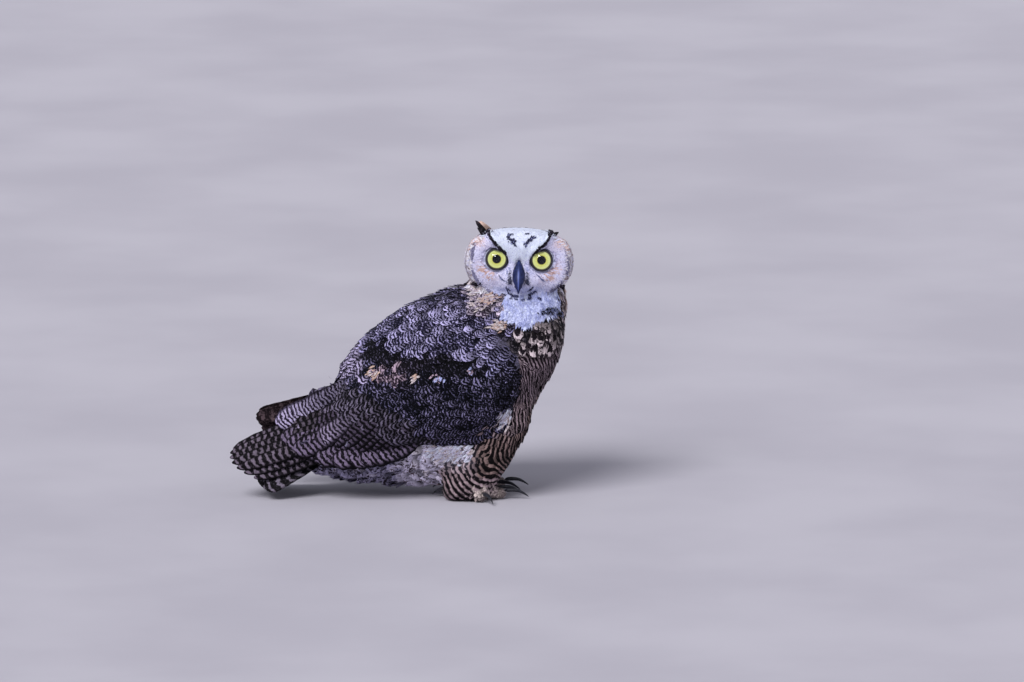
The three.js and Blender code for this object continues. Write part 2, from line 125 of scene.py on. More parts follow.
def makeMesh(name, points, quads=None, tris=None, attributes=None, uv=None):
    mesh = bpy.data.meshes.new(name)
    quads = np.zeros((0, 4), int) if quads is None else np.asarray(quads, int)
    tris = np.zeros((0, 3), int) if tris is None else np.asarray(tris, int)
    loops = np.concatenate([quads.ravel(), tris.ravel()]).astype(np.int32)
    starts = np.concatenate([np.arange(len(quads)) * 4, len(quads) * 4 + np.arange(len(tris)) * 3])
    mesh.vertices.add(len(points))
    mesh.vertices.foreach_set("co", (np.asarray(points) * mm).astype(np.float32).ravel())
    mesh.loops.add(len(loops))
    mesh.loops.foreach_set("vertex_index", loops)
    mesh.polygons.add(len(starts))
    mesh.polygons.foreach_set("loop_start", starts.astype(np.int32))
    mesh.update(calc_edges=True)
    for key, values in (attributes or {}).items():
        values = np.asarray(values, np.float32)
        if key in ("ground", "mark"):
            layer = mesh.attributes.new(key, "FLOAT_COLOR", "POINT")
            rgba = np.concatenate([values, np.ones((len(values), 1), np.float32)], 1)
            layer.data.foreach_set("color", rgba.ravel())
        else:
            layer = mesh.attributes.new(key, "FLOAT_VECTOR", "POINT")
            layer.data.foreach_set("vector", values.ravel())
    if uv is not None:
        layer = mesh.uv_layers.new(name="OFBake")
        layer.data.foreach_set("uv", np.asarray(uv, np.float32)[loops].ravel())
    mesh.shade_smooth()
    obj = bpy.data.objects.new(name, mesh)
    bpy.context.scene.collection.objects.link(obj)
    return obj


def tubeFaces(rows, around, turned=False):
    # the four-sided faces of rows of points, each row closed on itself
    grid = np.arange(rows * around).reshape(rows, around)
    following = np.roll(grid, -1, 1)
    faces = np.stack([grid[:-1], following[:-1], following[1:], grid[1:]], -1).reshape(-1, 4)
    return faces[:, [0, 3, 2, 1]] if turned else faces


def readMesh(mesh):
    points = np.empty(len(mesh.vertices) * 3)
    mesh.vertices.foreach_get("co", points)
    mesh.calc_loop_triangles()
    tris = np.empty(len(mesh.loop_triangles) * 3, np.int32)
    mesh.loop_triangles.foreach_get("vertices", tris)
    return points.reshape(-1, 3) / mm, tris.reshape(-1, 3)


def normalsOf(points, tris):
    corners = points[tris]
    faces = np.cross(corners[:, 1] - corners[:, 0], corners[:, 2] - corners[:, 0])
    total = np.zeros_like(points)
    for k in range(3):
        np.add.at(total, tris[:, k], faces)
    return unit(total)


def finishPiece(obj, slot, material, *nodes):
    obj.data.materials.append(material)
    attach(obj, "root")
    if nodes:
        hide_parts(*nodes)
    return obj


# The face: the dark brow line, the ring round the disc and the distance from the eye

faceDims = {
    "browStart": -4.8, "browSlope": 0.97,               # the dark line from the bill to the ear tuft
    "ringAcross": 14, "ringUp": -2, "ringWide": 43, "ringDeep": 38, "ringHigh": 62,
    "eyeAcross": 26.5, "eyeUp": 3.5,
}


def faceMarks(points):
    across, ahead, up = toHead(points).T
    side = np.abs(across)
    d = faceDims
    brow = up - (d["browStart"] + d["browSlope"] * side)
    tall = np.where(up > d["ringUp"], d["ringHigh"], d["ringDeep"])
    ring = np.hypot((side - d["ringAcross"]) / d["ringWide"], (up - d["ringUp"]) / tall)
    eye = np.hypot(side - d["eyeAcross"], up - d["eyeUp"])
    return across, side, ahead, up, brow, ring, eye


def faceRelief(points):
    _, side, ahead, up, brow, ring, _ = faceMarks(points)
    front = ramp(2, 16, ahead)
    ridge = 4.0 * bell(brow - 3, 6) * ramp(8, 18, side) * ramp(56, 42, side)
    rim = 1.8 * bell(ring - 1.0, 0.07) * ramp(24, 36, side)
    dish = -2.2 * bell(ring - 0.74, 0.16) * ramp(18, 30, side) * ramp(26, 10, up)
    groove = -1.2 * bell(ring - 1.14, 0.06) * ramp(24, 36, side)
    middle = 1.6 * ramp(10, 4, side) * bell(up - 8, 14)
    return (ridge + rim + dish + groove + middle) * front


# The skin: one closed surface in place of the flesh, inside it by the coat's depth

skinDims = {
    "voxel": 2.4,
    "rounds": 44,            # of smoothing on the body
    "bodySoft": 0.5, "faceSoft": 0.05, "headSoft": 0.25, "toeSoft": 0.04,
    "coat": {"trunk": 6.0, "neck": 6.0, "head": 2.4, "face": 1.7, "wing": 5.0, "leg": 5.0, "toe": 1.3},
    "rump": 13,              # how far it is lowered over the rump, under the long feathers of the wings
    "thinnest": 0.36,        # the inset is never more than this share of the flesh's thickness
}
eyeDims = {"radius": 15.6, "socket": 0.5}


def isFlesh(name):
    return name in ("trunk", "neck", "head") or name.startswith(("wing_", "leg_", "foot_", "toe_"))


flesh = sorted(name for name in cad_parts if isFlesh(name))


def gatherFlesh():
    points, tris, owner = [], [], []
    count = 0
    for index, name in enumerate(flesh):
        p, t = readMesh(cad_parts[name].data)
        points.append(p)
        tris.append(t + count)
        owner += [index] * len(t)
        count += len(p)
    return np.concatenate(points), np.concatenate(tris), np.array(owner)


def remeshed(points, tris, voxel):
    source = makeMesh("flesh", points, tris=tris)
    remesh = source.modifiers.new("remesh", "REMESH")
    remesh.mode = "VOXEL"
    remesh.voxel_size = voxel * mm
    depsgraph = bpy.context.evaluated_depsgraph_get()
    made = bpy.data.meshes.new_from_object(source.evaluated_get(depsgraph))
    bpy.data.objects.remove(source)
    return made


def softened(points, edges, share, rounds):
    a, b = edges.T
    count = np.bincount(a, minlength=len(points)) + np.bincount(b, minlength=len(points))
    for _ in range(rounds):
        total = np.empty_like(points)
        for k in range(points.shape[1]):
            total[:, k] = np.bincount(a, points[b, k], len(points))
            total[:, k] += np.bincount(b, points[a, k], len(points))
        points = points + (total / count[:, None] - points) * share
    return points


def makeSkin():
    points, tris, owner = gatherFlesh()
    fleshTree = BVHTree.FromPolygons(points.tolist(), tris.tolist())
    mesh = remeshed(points, tris, skinDims["voxel"])
    skin, skinTris = readMesh(mesh)
    edges = np.empty(len(mesh.edges) * 2, np.int32)
    mesh.edges.foreach_get("vertices", edges)
    edges = edges.reshape(-1, 2)
    part = np.array([owner[fleshTree.find_nearest(p)[2]] for p in skin.tolist()])
    names = np.array([name.split("_")[0] for name in flesh])[part]
    inHead = toHead(skin)
    face = ramp(16, 28, inHead[:, 1]) * (names == "head")
    soft = np.full(len(skin), skinDims["bodySoft"])
    soft[names == "head"] = skinDims["headSoft"]
    soft = mix(soft, skinDims["faceSoft"], face)
    soft[(names == "toe") | (names == "foot")] = skinDims["toeSoft"]
    soft = soft[:, None]
    skin = softened(skin, edges, soft, skinDims["rounds"])
    normals = normalsOf(skin, skinTris)
    coat = skinDims["coat"]
    depth = np.array([coat.get("toe" if n == "foot" else n, coat["trunk"]) for n in names])
    depth = mix(depth, coat["face"], face)
    depth = softened(depth[:, None], edges, 0.5, 6)[:, 0]
    tree = BVHTree.FromPolygons(skin.tolist(), skinTris.tolist())
    for i, (p, n) in enumerate(zip(skin.tolist(), normals.tolist())):
        inward = -Vector(n)
        through = tree.ray_cast(Vector(p) + inward * 0.2, inward, 40)[3]
        if through is not None:
            depth[i] = min(depth[i], through * skinDims["thinnest"])
    skin = skin - normals * depth[:, None]
    skin = softened(skin, edges, np.minimum(soft, 0.3), 4)
    skin = skin + normals * (faceRelief(skin) * (names == "head"))[:, None]
    for name in ("eye_right", "eye_left"):
        centre = middleOf(name)
        reach = np.linalg.norm(skin - centre, axis=1)
        keep = eyeDims["radius"] + eyeDims["socket"]
        inside = reach < keep
        skin[inside] = centre + unit(skin[inside] - centre) * keep
    skin[:, 2] -= skinDims["rump"] * ramp(-62, -88, skin[:, 0]) * ramp(104, 146, skin[:, 2])
    skin[:, 2] = np.maximum(skin[:, 2], 0.2)
    mesh.vertices.foreach_set("co", (skin * mm).astype(np.float32).ravel())
    mesh.update()
    obj = bpy.data.objects.new("skin", mesh)
    bpy.context.scene.collection.objects.link(obj)
    return obj, skin, skinTris, names


skin, skinPoints, skinTris, skinPart = makeSkin()
tell(f"skin: {len(skinPoints)} points")


def unwrapSkin():
    for other in bpy.context.selected_objects:
        other.select_set(False)
    bpy.context.view_layer.objects.active = skin
    skin.select_set(True)
    bpy.ops.object.mode_set(mode="EDIT")
    bpy.ops.mesh.select_all(action="SELECT")
    bpy.ops.uv.smart_project(angle_limit=1.15, island_margin=0.002)
    bpy.ops.object.mode_set(mode="OBJECT")
    layer = skin.data.uv_layers.active
    layer.name = "OFBake"
    flat = np.empty(len(skin.data.loops) * 2, np.float32)
    layer.data.foreach_get("uv", flat)
    corner = np.empty(len(skin.data.loop_triangles) * 3, np.int32)
    skin.data.calc_loop_triangles()
    skin.data.loop_triangles.foreach_get("loops", corner)
    return flat.reshape(-1, 2)[corner.reshape(-1, 3)]


skinMap = unwrapSkin()
tell("skin unwrapped")


skinNormals = normalsOf(skinPoints, skinTris)
skinTree = BVHTree.FromPolygons(skinPoints.tolist(), skinTris.tolist())


def nearestOnSkin(points):
    spots = np.empty_like(points)
    normals = np.empty_like(points)
    for i, p in enumerate(points.tolist()):
        spot, normal, _, _ = skinTree.find_nearest(p)
        spots[i] = spot
        normals[i] = normal
    return spots, normals


# The lie of the coat: which way the feathers point, from a few places on the bird's left side

lieOfBody = [
    # where                    which way
    ((140, 60, 236), (-0.25, 0.15, -1)),    # side of the neck
    ((196, 0, 236), (0.1, 0, -1)),          # front of the neck
    ((86, 0, 262), (-1, 0, -0.2)),          # shoulders
    ((10, 0, 238), (-0.93, 0, -0.4)),       # back
    ((-60, 0, 190), (-0.78, 0, -0.62)),
    ((-112, 0, 90), (-0.85, 0, -0.5)),      # rump
    ((196, 0, 190), (-0.05, 0, -1)),        # breast
    ((172, 60, 190), (-0.2, 0, -1)),
    ((165, 0, 130), (-0.35, 0, -0.95)),
    ((150, 60, 130), (-0.5, 0, -0.87)),
    ((110, 60, 70), (-0.72, 0, -0.7)),      # flank feathers over the leg
    ((80, 55, 20), (-0.7, 0, -0.7)),
    ((40, 0, 8), (-1, 0, 0)),               # belly
    ((20, 60, 40), (-0.9, 0, -0.4)),
    ((-80, 30, 22), (-1, 0, 0.05)),         # under the tail
    ((-100, 40, 60), (-0.95, 0, -0.2)),
    ((130, 85, 150), (-0.93, 0, -0.3)),     # wrist of the wing
    ((40, 75, 212), (-0.9, 0, -0.42)),
    ((10, 100, 145), (-0.93, 0, -0.36)),
    ((40, 90, 90), (-0.98, 0, -0.12)),
    ((-110, 40, 115), (-0.87, -0.05, -0.48)),
]
lieReach = 42            # how far each of those places counts

# The front of the body from the breast to the heel, on the bird's left; the bars curve back from it
frontLine = np.array([(198, 0, 205), (191, 0, 165), (178, 8, 134), (166, 16, 113), (154, 28, 88),
                      (134, 48, 66), (106, 66, 54)],
                     float)
frontCurve = {"slope": 0.9, "round": 10}


def alongFront(points):
    # how far each point is down the curved bars, and the way across them
    sign = np.where(points[:, 1] < 0, -1.0, 1.0)
    places = points * np.stack([np.ones_like(sign), sign, np.ones_like(sign)], 1)
    best = np.full(len(points), np.inf)
    down, way = np.zeros(len(points)), np.zeros_like(points)
    start = 0.0
    for a, b in zip(frontLine[:-1], frontLine[1:]):
        span = np.linalg.norm(b - a)
        share = np.clip((places - a) @ (b - a) / span ** 2, 0, 1)
        gap = places - (a + share[:, None] * (b - a))
        far = np.linalg.norm(gap, axis=1)
        reach = np.sqrt(far ** 2 + frontCurve["round"] ** 2)
        closer = far < best
        best = np.where(closer, far, best)
        down = np.where(closer, start + share * span + frontCurve["slope"] * reach, down)
        here = (b - a) / span + gap * (frontCurve["slope"] / reach)[:, None]
        way = np.where(closer[:, None], here, way)
        start += span
    way[:, 1] *= sign
    return down, unit(way), best


def lieOnBody(points):
    total = np.zeros_like(points)
    for side in (1, -1):
        for where, way in lieOfBody:
            mirror = np.array([1, side, 1])
            gone = np.linalg.norm(points - np.array(where) * mirror, axis=1)
            total += unit(np.array(way, float) * mirror) * (1 / (1 + (gone / lieReach) ** 4))[:, None]
    return unit(total)


lieOfFace = {"eyeAcross": 15, "eyeUp": -3, "seam": 7}


def lieOnHead(points):
    across, ahead, up = toHead(points).T
    side = np.abs(across)
    sign = np.where(across < 0, -1.0, 1.0)
    outward = np.stack([(side - lieOfFace["eyeAcross"]) * sign, np.zeros_like(side),
                        up - lieOfFace["eyeUp"]], 1)
    outward = unit(outward)
    straight = np.stack([np.zeros_like(side), np.zeros_like(side), np.where(up > 2, 1.0, -1.0)], 1)
    onFace = unit(mix(straight, outward, ramp(1, lieOfFace["seam"], side)[:, None]))
    behind = np.stack([across * 0.004, -np.ones_like(side), -0.35 - ramp(10, -50, ahead) * 1.5], 1)
    local = unit(mix(unit(behind), onFace, ramp(4, 30, ahead)[:, None]))
    return local @ headAxes


def lieOf(points, part):
    way = lieOnBody(points)
    x, y, z = points.T
    breast = (part == "trunk") * ramp(-12, 6, x - 46 - 0.9 * (z - 130)) * ramp(40, 52, x)
    front = np.clip(np.isin(part, ("leg", "foot")) + breast, 0, 1) * ramp(196, 176, z)
    way = unit(mix(way, alongFront(points)[1], front[:, None]))
    throat = (part == "neck") * ramp(108, 118, x) * ramp(0, -20, y)
    way = unit(mix(way, np.array([0.05, 0, -1.0]), throat[:, None] * 0.85))
    onHead = part == "head"
    if onHead.any():
        way[onHead] = lieOnHead(points[onHead])
    return way


# Sowing the roots: scattered over the skin, no two closer than the spacing there

def sow(chosen, spacing, rng, tries=5):
    corners = skinPoints[skinTris]
    area = np.linalg.norm(np.cross(corners[:, 1] - corners[:, 0], corners[:, 2] - corners[:, 0]), axis=1) / 2
    weight = area * chosen / spacing ** 2
    count = int(weight.sum() * tries)
    face = np.searchsorted(np.cumsum(weight) / weight.sum(), rng.random(count))
    a, b = rng.random((2, count, 1))
    over = a + b > 1
    a, b = np.where(over, 1 - a, a), np.where(over, 1 - b, b)
    points = corners[face, 0] * (1 - a - b) + corners[face, 1] * a + corners[face, 2] * b
    radius = spacing[face]
    cell = radius.max()
    cells = np.floor(points / cell).astype(int)
    around = [(dx, dy, dz) for dx in (-1, 0, 1) for dy in (-1, 0, 1) for dz in (-1, 0, 1)]
    kept, grid = [], {}
    for i, (p, r, (u, v, w)) in enumerate(zip(points.tolist(), radius.tolist(), cells.tolist())):
        near = (q for dx, dy, dz in around for q in grid.get((u + dx, v + dy, w + dz), ()))
        if all((p[0] - q[0]) ** 2 + (p[1] - q[1]) ** 2 + (p[2] - q[2]) ** 2 >= r * r for q in near):
            grid.setdefault((u, v, w), []).append(p)
            kept.append(i)
    kept = np.array(kept)
    face, a, b = face[kept], a[kept], b[kept]
    tri = skinTris[face]
    normals = skinNormals[tri]
    normals = unit(normals[:, 0] * (1 - a - b) + normals[:, 1] * a + normals[:, 2] * b)
    uvs = skinMap[face]
    uvs = uvs[:, 0] * (1 - a - b) + uvs[:, 1] * a + uvs[:, 2] * b
    return {"point": points[kept], "normal": normals, "uv": uvs, "part": skinPart[tri[:, 0]]}


# Vanes: each feather is a cupped blade that follows the skin and ends in a row of barb tips

barBow = 6.0             # how far the bars of a soft feather bend toward its root at the edges
coatUsual = {
    "lengthVaries": 0.1, "yaw": 0.1, "roll": 0.12,      # how much the feathers differ in length and lie
    "low": 0.4, "curve": 1.2, "cup": 0.18,              # the height over the skin, and the hollow across
    "wide": 0.55, "root": 0.45,                         # where along it is widest, and its share at the root
    "ragged": 0.05, "fray": 0.3,                        # the unevenness of the edges and of the barb tips
    "drop": 0.35,            # how fast it comes down beyond a step, as a share of its own length
    "fine": False,
}


def follow(roots, lengths, ways, rows, drop):
    points, normals = [roots["point"]], [roots["normal"]]
    way = unit(ways - dot(ways, roots["normal"]) * roots["normal"])
    for r in range(1, len(rows)):
        step = (lengths * (rows[r] - rows[r - 1]))[:, None]
        ahead = points[-1] + way * step
        spot, normal = nearestOnSkin(ahead)
        gap = spot - ahead
        far = np.linalg.norm(gap, axis=1, keepdims=True)
        outside = dot(gap, normal) < 0
        allowed = np.where(outside, np.minimum(far, np.maximum(step * drop, far - 6)), far)
        ahead = ahead + gap * allowed / np.maximum(far, 1e-6)
        normal = unit(normals[-1] * 0.45 + normal * 0.55)
        points.append(ahead)
        normals.append(normal)
        way = unit(ahead - points[-2])
        way = unit(way - dot(way, normal) * normal)
    return np.stack(points, 1), np.stack(normals, 1)


def outline(along, wide, root):
    return np.where(along < wide, mix(root, 1, ramp(0, wide, along)),
                    np.sqrt(np.maximum(0, 1 - ((along - wide) / (1.001 - wide)) ** 2)))


def vanes(name, roots, tract, rng):
    count = len(roots["point"])
    d = {**coatUsual, **tract}
    rows, columns = np.array(d["rows"]), d["columns"]
    length = roots["length"] * (1 + rng.normal(0, d["lengthVaries"], count))
    width = roots["width"] * (1 + rng.normal(0, 0.1, count))
    ways = roots["way"] + rng.normal(0, d["yaw"], (count, 3))
    centre, normal = follow(roots, length, ways, np.append(rows, 1), d["drop"])
    tangent = np.empty_like(centre)
    tangent[:, 1:-1] = centre[:, 2:] - centre[:, :-2]
    tangent[:, 0] = centre[:, 1] - centre[:, 0]
    tangent[:, -1] = centre[:, -1] - centre[:, -2]
    tangent = unit(tangent)
    across = unit(np.cross(normal, tangent))
    roll = rng.normal(0, d["roll"], (count, 1, 1)) * np.append(rows, 1)[None, :, None]
    across, normal = across + normal * roll, normal - across * roll
    rise = d["rise"] * (1 + rng.normal(0, 0.18, count))
    low = d["low"] + roots["above"]
    v = np.linspace(-1, 1, columns + 1)
    half = outline(rows, d["wide"], d["root"])
    wobble = 1 + rng.normal(0, d["ragged"], (count, len(rows), columns + 1)) * (np.abs(v) > 0.9)
    x = half[None, :, None] * v * wobble * (width / 2)[:, None, None]
    lift = mix(d["low"], low[:, None], ramp(0, 0.5, rows)) + rise[:, None] * rows ** d["curve"]
    cup = d["cup"] * (half * v[:, None] ** 2).T
    height = lift[:, :, None] - cup[None] * (width / 2)[:, None, None]
    body = centre[:, :-1, None] + across[:, :-1, None] * x[..., None]
    body = body + normal[:, :-1, None] * height[..., None]
    body = body.reshape(count, -1, 3)
    mid = (v[1:] + v[:-1]) / 2 * half[-1]
    reach = d["wide"] + (1 - d["wide"]) * np.sqrt(1 - mid ** 2)
    share = ((reach - rows[-1]) / (1 - rows[-1]))[None] + rng.normal(0, d["fray"], (count, columns))
    share = np.clip(share, 0.15, 1.6)[..., None]
    tipCentre = centre[:, -2, None] + (centre[:, -1] - centre[:, -2])[:, None] * share
    tipX = mid[None] * (width / 2)[:, None] * 1.05
    tipLift = low + rise
    tipHeight = mix(lift[:, -1:], tipLift[:, None], share[..., 0])
    tipHeight = tipHeight - d["cup"] * mid ** 2 * (width / 2)[:, None]
    tips = tipCentre + across[:, -2, None] * tipX[..., None] + normal[:, -2, None] * tipHeight[..., None]
    points = np.concatenate([body, tips], 1)
    each = points.shape[1]
    grid = np.arange(len(rows) * (columns + 1)).reshape(len(rows), columns + 1)
    quads = np.stack([grid[:-1, :-1], grid[:-1, 1:], grid[1:, 1:], grid[1:, :-1]], -1).reshape(-1, 4)
    tris = np.stack([grid[-1, :-1], grid[-1, 1:], grid.size + np.arange(columns)], -1)
    start = (np.arange(count) * each)[:, None, None]
    along = np.concatenate([np.repeat(rows, columns + 1)[None].repeat(count, 0),
                            rows[-1] + (1 - rows[-1]) * share[..., 0]], 1)
    sideways = np.concatenate([x.reshape(count, -1), tipX], 1)
    seed = rng.random(count)
    vane = np.stack([sideways, (1 - along) * length[:, None], np.repeat(seed[:, None], each, 1)], -1)
    period, strength = roots["paint"]["bars"][:, :1], roots["paint"]["bars"][:, 2:]
    acrossShare = sideways / (width / 2)[:, None]
    down = alongFront(points.reshape(-1, 3))[0].reshape(count, each)
    own = rng.random((count, 1))
    ringed = (barBow * acrossShare ** 2 - vane[..., 1] - down) / period + own * 0.16
    phase = mix(own, ringed, ramp(0.86, 0.96, strength))
    spread = np.stack([acrossShare, along, phase], -1)
    small = 0.0015
    uv = roots["uv"][:, None] + np.stack([spread[..., 0] * small, (spread[..., 1] - 0.5) * 2 * small], -1)
    attributes = {"vane": vane.reshape(-1, 3), "spread": spread.reshape(-1, 3)}
    for key, values in roots["paint"].items():
        attributes[key] = np.repeat(values, each, 0)
    points = points.reshape(-1, 3)
    points[:, 2] = np.maximum(points[:, 2], 0.3)
    piece = makeMesh(name, points, (quads[None] + start).reshape(-1, 4), (tris[None] + start).reshape(-1, 3),
                     attributes, uv.reshape(-1, 2))
    tell(f"{name}: {count} feathers, {len(quads) * count * 2 + len(tris) * count} triangles")
    return piece


# Markings, four values for each kind of feather: its ground, the pale colour; its mark, the dark one;
# its bars, how far apart in mm, how much of each is dark and how strong; and its flecks, the fine wavy
# marks, the dark tip and the pale edge, where less than 0 is a pale tip or a dark edge. A dark edge is
# painted shade, the shadow along the gap where the next feather overlaps.

markings = {
    # back and wings
    "mantle": ((176, 168, 212), (20, 18, 38), (4.0, 0.58, 0.5), (0.25, 0.0, 0.05)),
    "mantleDark": ((144, 137, 180), (12, 11, 28), (4.2, 0.72, 0.5), (0.25, 0.0, 0)),
    "mantleRear": ((184, 172, 208), (36, 29, 48), (5.0, 0.5, 0.7), (0.25, 0, 0)),
    "rump": ((150, 140, 172), (34, 29, 44), (5, 0.55, 0.6), (0.3, 0, 0.1)),
    "scapular": ((92, 86, 112), (7, 6, 12), (4.4, 0.88, 0.45), (0.2, 0.2, 0)),
    "lesser": ((128, 121, 158), (8, 8, 17), (4.2, 0.72, 0.55), (0.25, 0.1, 0)),
    "lesserDark": ((88, 85, 116), (5, 5, 12), (4.2, 0.85, 0.5), (0.2, 0.1, 0)),
    "wrist": ((164, 158, 204), (14, 12, 28), (4.2, 0.66, 0.6), (0.2, 0, 0)),
    "greater": ((118, 109, 132), (10, 8, 15), (5.6, 0.64, 0.72), (0.35, 0, -0.8)),
    "rosy": ((196, 170, 190), (38, 28, 40), (4.6, 0.46, 0.4), (0.25, 0, 0)),
    # neck, breast, legs and belly
    "nape": ((206, 190, 212), (54, 43, 60), (4.6, 0.42, 0.5), (0.3, 0.0, 0.1)),
    "buff": ((206, 178, 166), (150, 118, 112), (7, 0.26, 0.4), (0.25, 0, 0.1)),
    "buffPale": ((214, 202, 206), (146, 128, 132), (6, 0.3, 0.4), (0.3, 0, 0.1)),
    "bib": ((205, 210, 243), (156, 162, 214), (10, 0.18, 0.1), (0.05, 0, 0.2)),
    # bibShade: the bib's colours in painted shade, also used for pale spots on the wing
    "bibShade": ((172, 178, 222), (136, 142, 194), (10, 0.2, 0.1), (0.1, 0, 0.1)),
    "blotch": ((200, 184, 190), (24, 18, 26), (22, 0.56, 0.6), (0.1, 0.0, 0.15)),
    "dark": ((44, 40, 54), (14, 13, 20), (5, 0.7, 0.3), (0.3, 0.2, 0)),
    "breast": ((150, 131, 142), (22, 15, 22), (5.6, 0.62, 1), (0.15, 0.0, 0.0)),
    "flank": ((162, 141, 148), (16, 11, 16), (6.1, 0.62, 1), (0.1, 0.0, 0.0)),
    "flankDark": ((136, 114, 112), (10, 7, 10), (5.7, 0.64, 1), (0.1, 0.0, 0)),
    "belly": ((226, 218, 244), (84, 70, 78), (14, 0.26, 0.3), (0.1, 0, 0.1)),
    "fluff": ((232, 236, 255), (176, 168, 190), (14, 0.2, 0.1), (0.1, 0, 0.1)),
    # under the tail: barred like the belly but greyer and darker, painted shade under the tail and wings
    "underTail": ((156, 150, 184), (36, 32, 42), (12, 0.42, 0.3), (0.1, 0, 0.5)),
    "toe": ((206, 190, 186), (120, 104, 108), (5, 0.3, 0.2), (0.2, 0.0, 0.1)),
    # head
    "crown": ((190, 184, 200), (36, 31, 44), (5, 0.5, 0.4), (0.5, 0.3, 0.1)),
    "forehead": ((230, 238, 252), (184, 190, 226), (4, 0.1, 0.1), (0.05, 0, 0.2)),
    "disc": ((230, 228, 255), (164, 162, 204), (3, 0.2, 0.2), (0.12, 0, 0.1)),
    "smudge": ((176, 184, 232), (84, 88, 140), (3, 0.4, 0.3), (0.4, 0, 0.2)),
    "rufous": ((212, 172, 154), (178, 132, 114), (3, 0.35, 0.2), (0.25, 0, 0.1)),
    "pink": ((232, 206, 206), (176, 140, 140), (4, 0.3, 0.2), (0.2, 0, 0.1)),
    "rim": ((150, 146, 178), (104, 100, 130), (3, 0.5, 0.3), (0.4, 0.2, 0)),
    "rimLight": ((240, 237, 248), (200, 190, 204), (4, 0.2, 0.2), (0.1, 0, 0.1)),
    "rimSpeck": ((212, 196, 202), (120, 98, 104), (4, 0.5, 0.3), (0.4, 0.3, 0)),
    "brow": ((58, 50, 66), (18, 15, 24), (5, 0.6, 0.3), (0.3, 0.1, 0)),
    "ink": ((82, 82, 118), (34, 34, 58), (5, 0.6, 0.3), (0.3, 0.1, 0)),
    "inkPale": ((140, 146, 190), (80, 84, 126), (4, 0.5, 0.3), (0.3, 0.1, 0)),
    "tuft": ((70, 60, 70), (16, 13, 20), (90, 0.85, 0.2), (0.1, 0.3, 0)),
    "tuftEdge": ((214, 184, 172), (150, 118, 110), (90, 0.2, 0.1), (0.1, 0, 0.2)),
    # flight feathers and tail, each dark edge painted shade from the feather over it
    "primary": ((120, 108, 125), (9, 6, 11), (8.6, 0.7, 0.84), (0.45, 0.1, -1)),
    "secondary": ((124, 110, 137), (11, 8, 15), (6.6, 0.6, 0.84), (0.45, 0.1, -1)),
    "tertial": ((182, 170, 206), (27, 20, 35), (4.9, 0.56, 0.62), (0.45, 0, -0.95)),
    "innerWing": ((152, 139, 168), (20, 15, 25), (5.6, 0.58, 0.7), (0.45, 0, -0.95)),
    "farWing": ((92, 76, 82), (30, 22, 26), (14, 0.6, 0.4), (0.2, 0.1, -0.3)),
    "tail": ((120, 111, 128), (8, 6, 10), (13, 0.82, 0.88), (0.35, 0.1, -0.6)),
}
markKeys = ("ground", "mark", "bars", "flecks")


def markTable(names, key):
    values = np.array([markings[name][markKeys.index(key)] for name in names], float)
    return linear(values) if key in ("ground", "mark") else values


def paint(names, weights, rng, ragged=0.15, soft=0.3, tint=0.14):
    share = weights / weights.sum(1, keepdims=True)
    pick = np.argmax(share + rng.normal(0, ragged, weights.shape) * (share > 0.02), 1)
    out = {}
    for key in markKeys:
        table = markTable(names, key)
        out[key] = table[pick] * (1 - soft) + share @ table * soft
    bright = 1 + rng.normal(0, tint, (len(pick), 1))
    out["ground"] = np.clip(out["ground"] * bright, 0, 1)
    out["bars"][:, 1] = np.clip(out["bars"][:, 1] + rng.normal(0, tint * 0.5, len(pick)), 0, 0.97)
    return out


def clouds(points, size, move=0.0):
    return np.array([noise.noise(Vector(p) / size + Vector((move, 0, 0))) for p in points.tolist()])


breastSpots = [((189, 231), (3, 5)), ((182, 213), (9, 5)), ((150, 200), (7, 6)), ((191, 258), (3, 3))]


def darkSpots(points):
    # the dark marks under the bib, by where along and how high
    x, y, z = points.T
    total = np.zeros(len(x))
    for (atX, atZ), (wide, tall) in breastSpots:
        total += bell(np.hypot((x - atX) / wide, (z - atZ) / tall), 1)
    return total * ramp(0, -10, y)


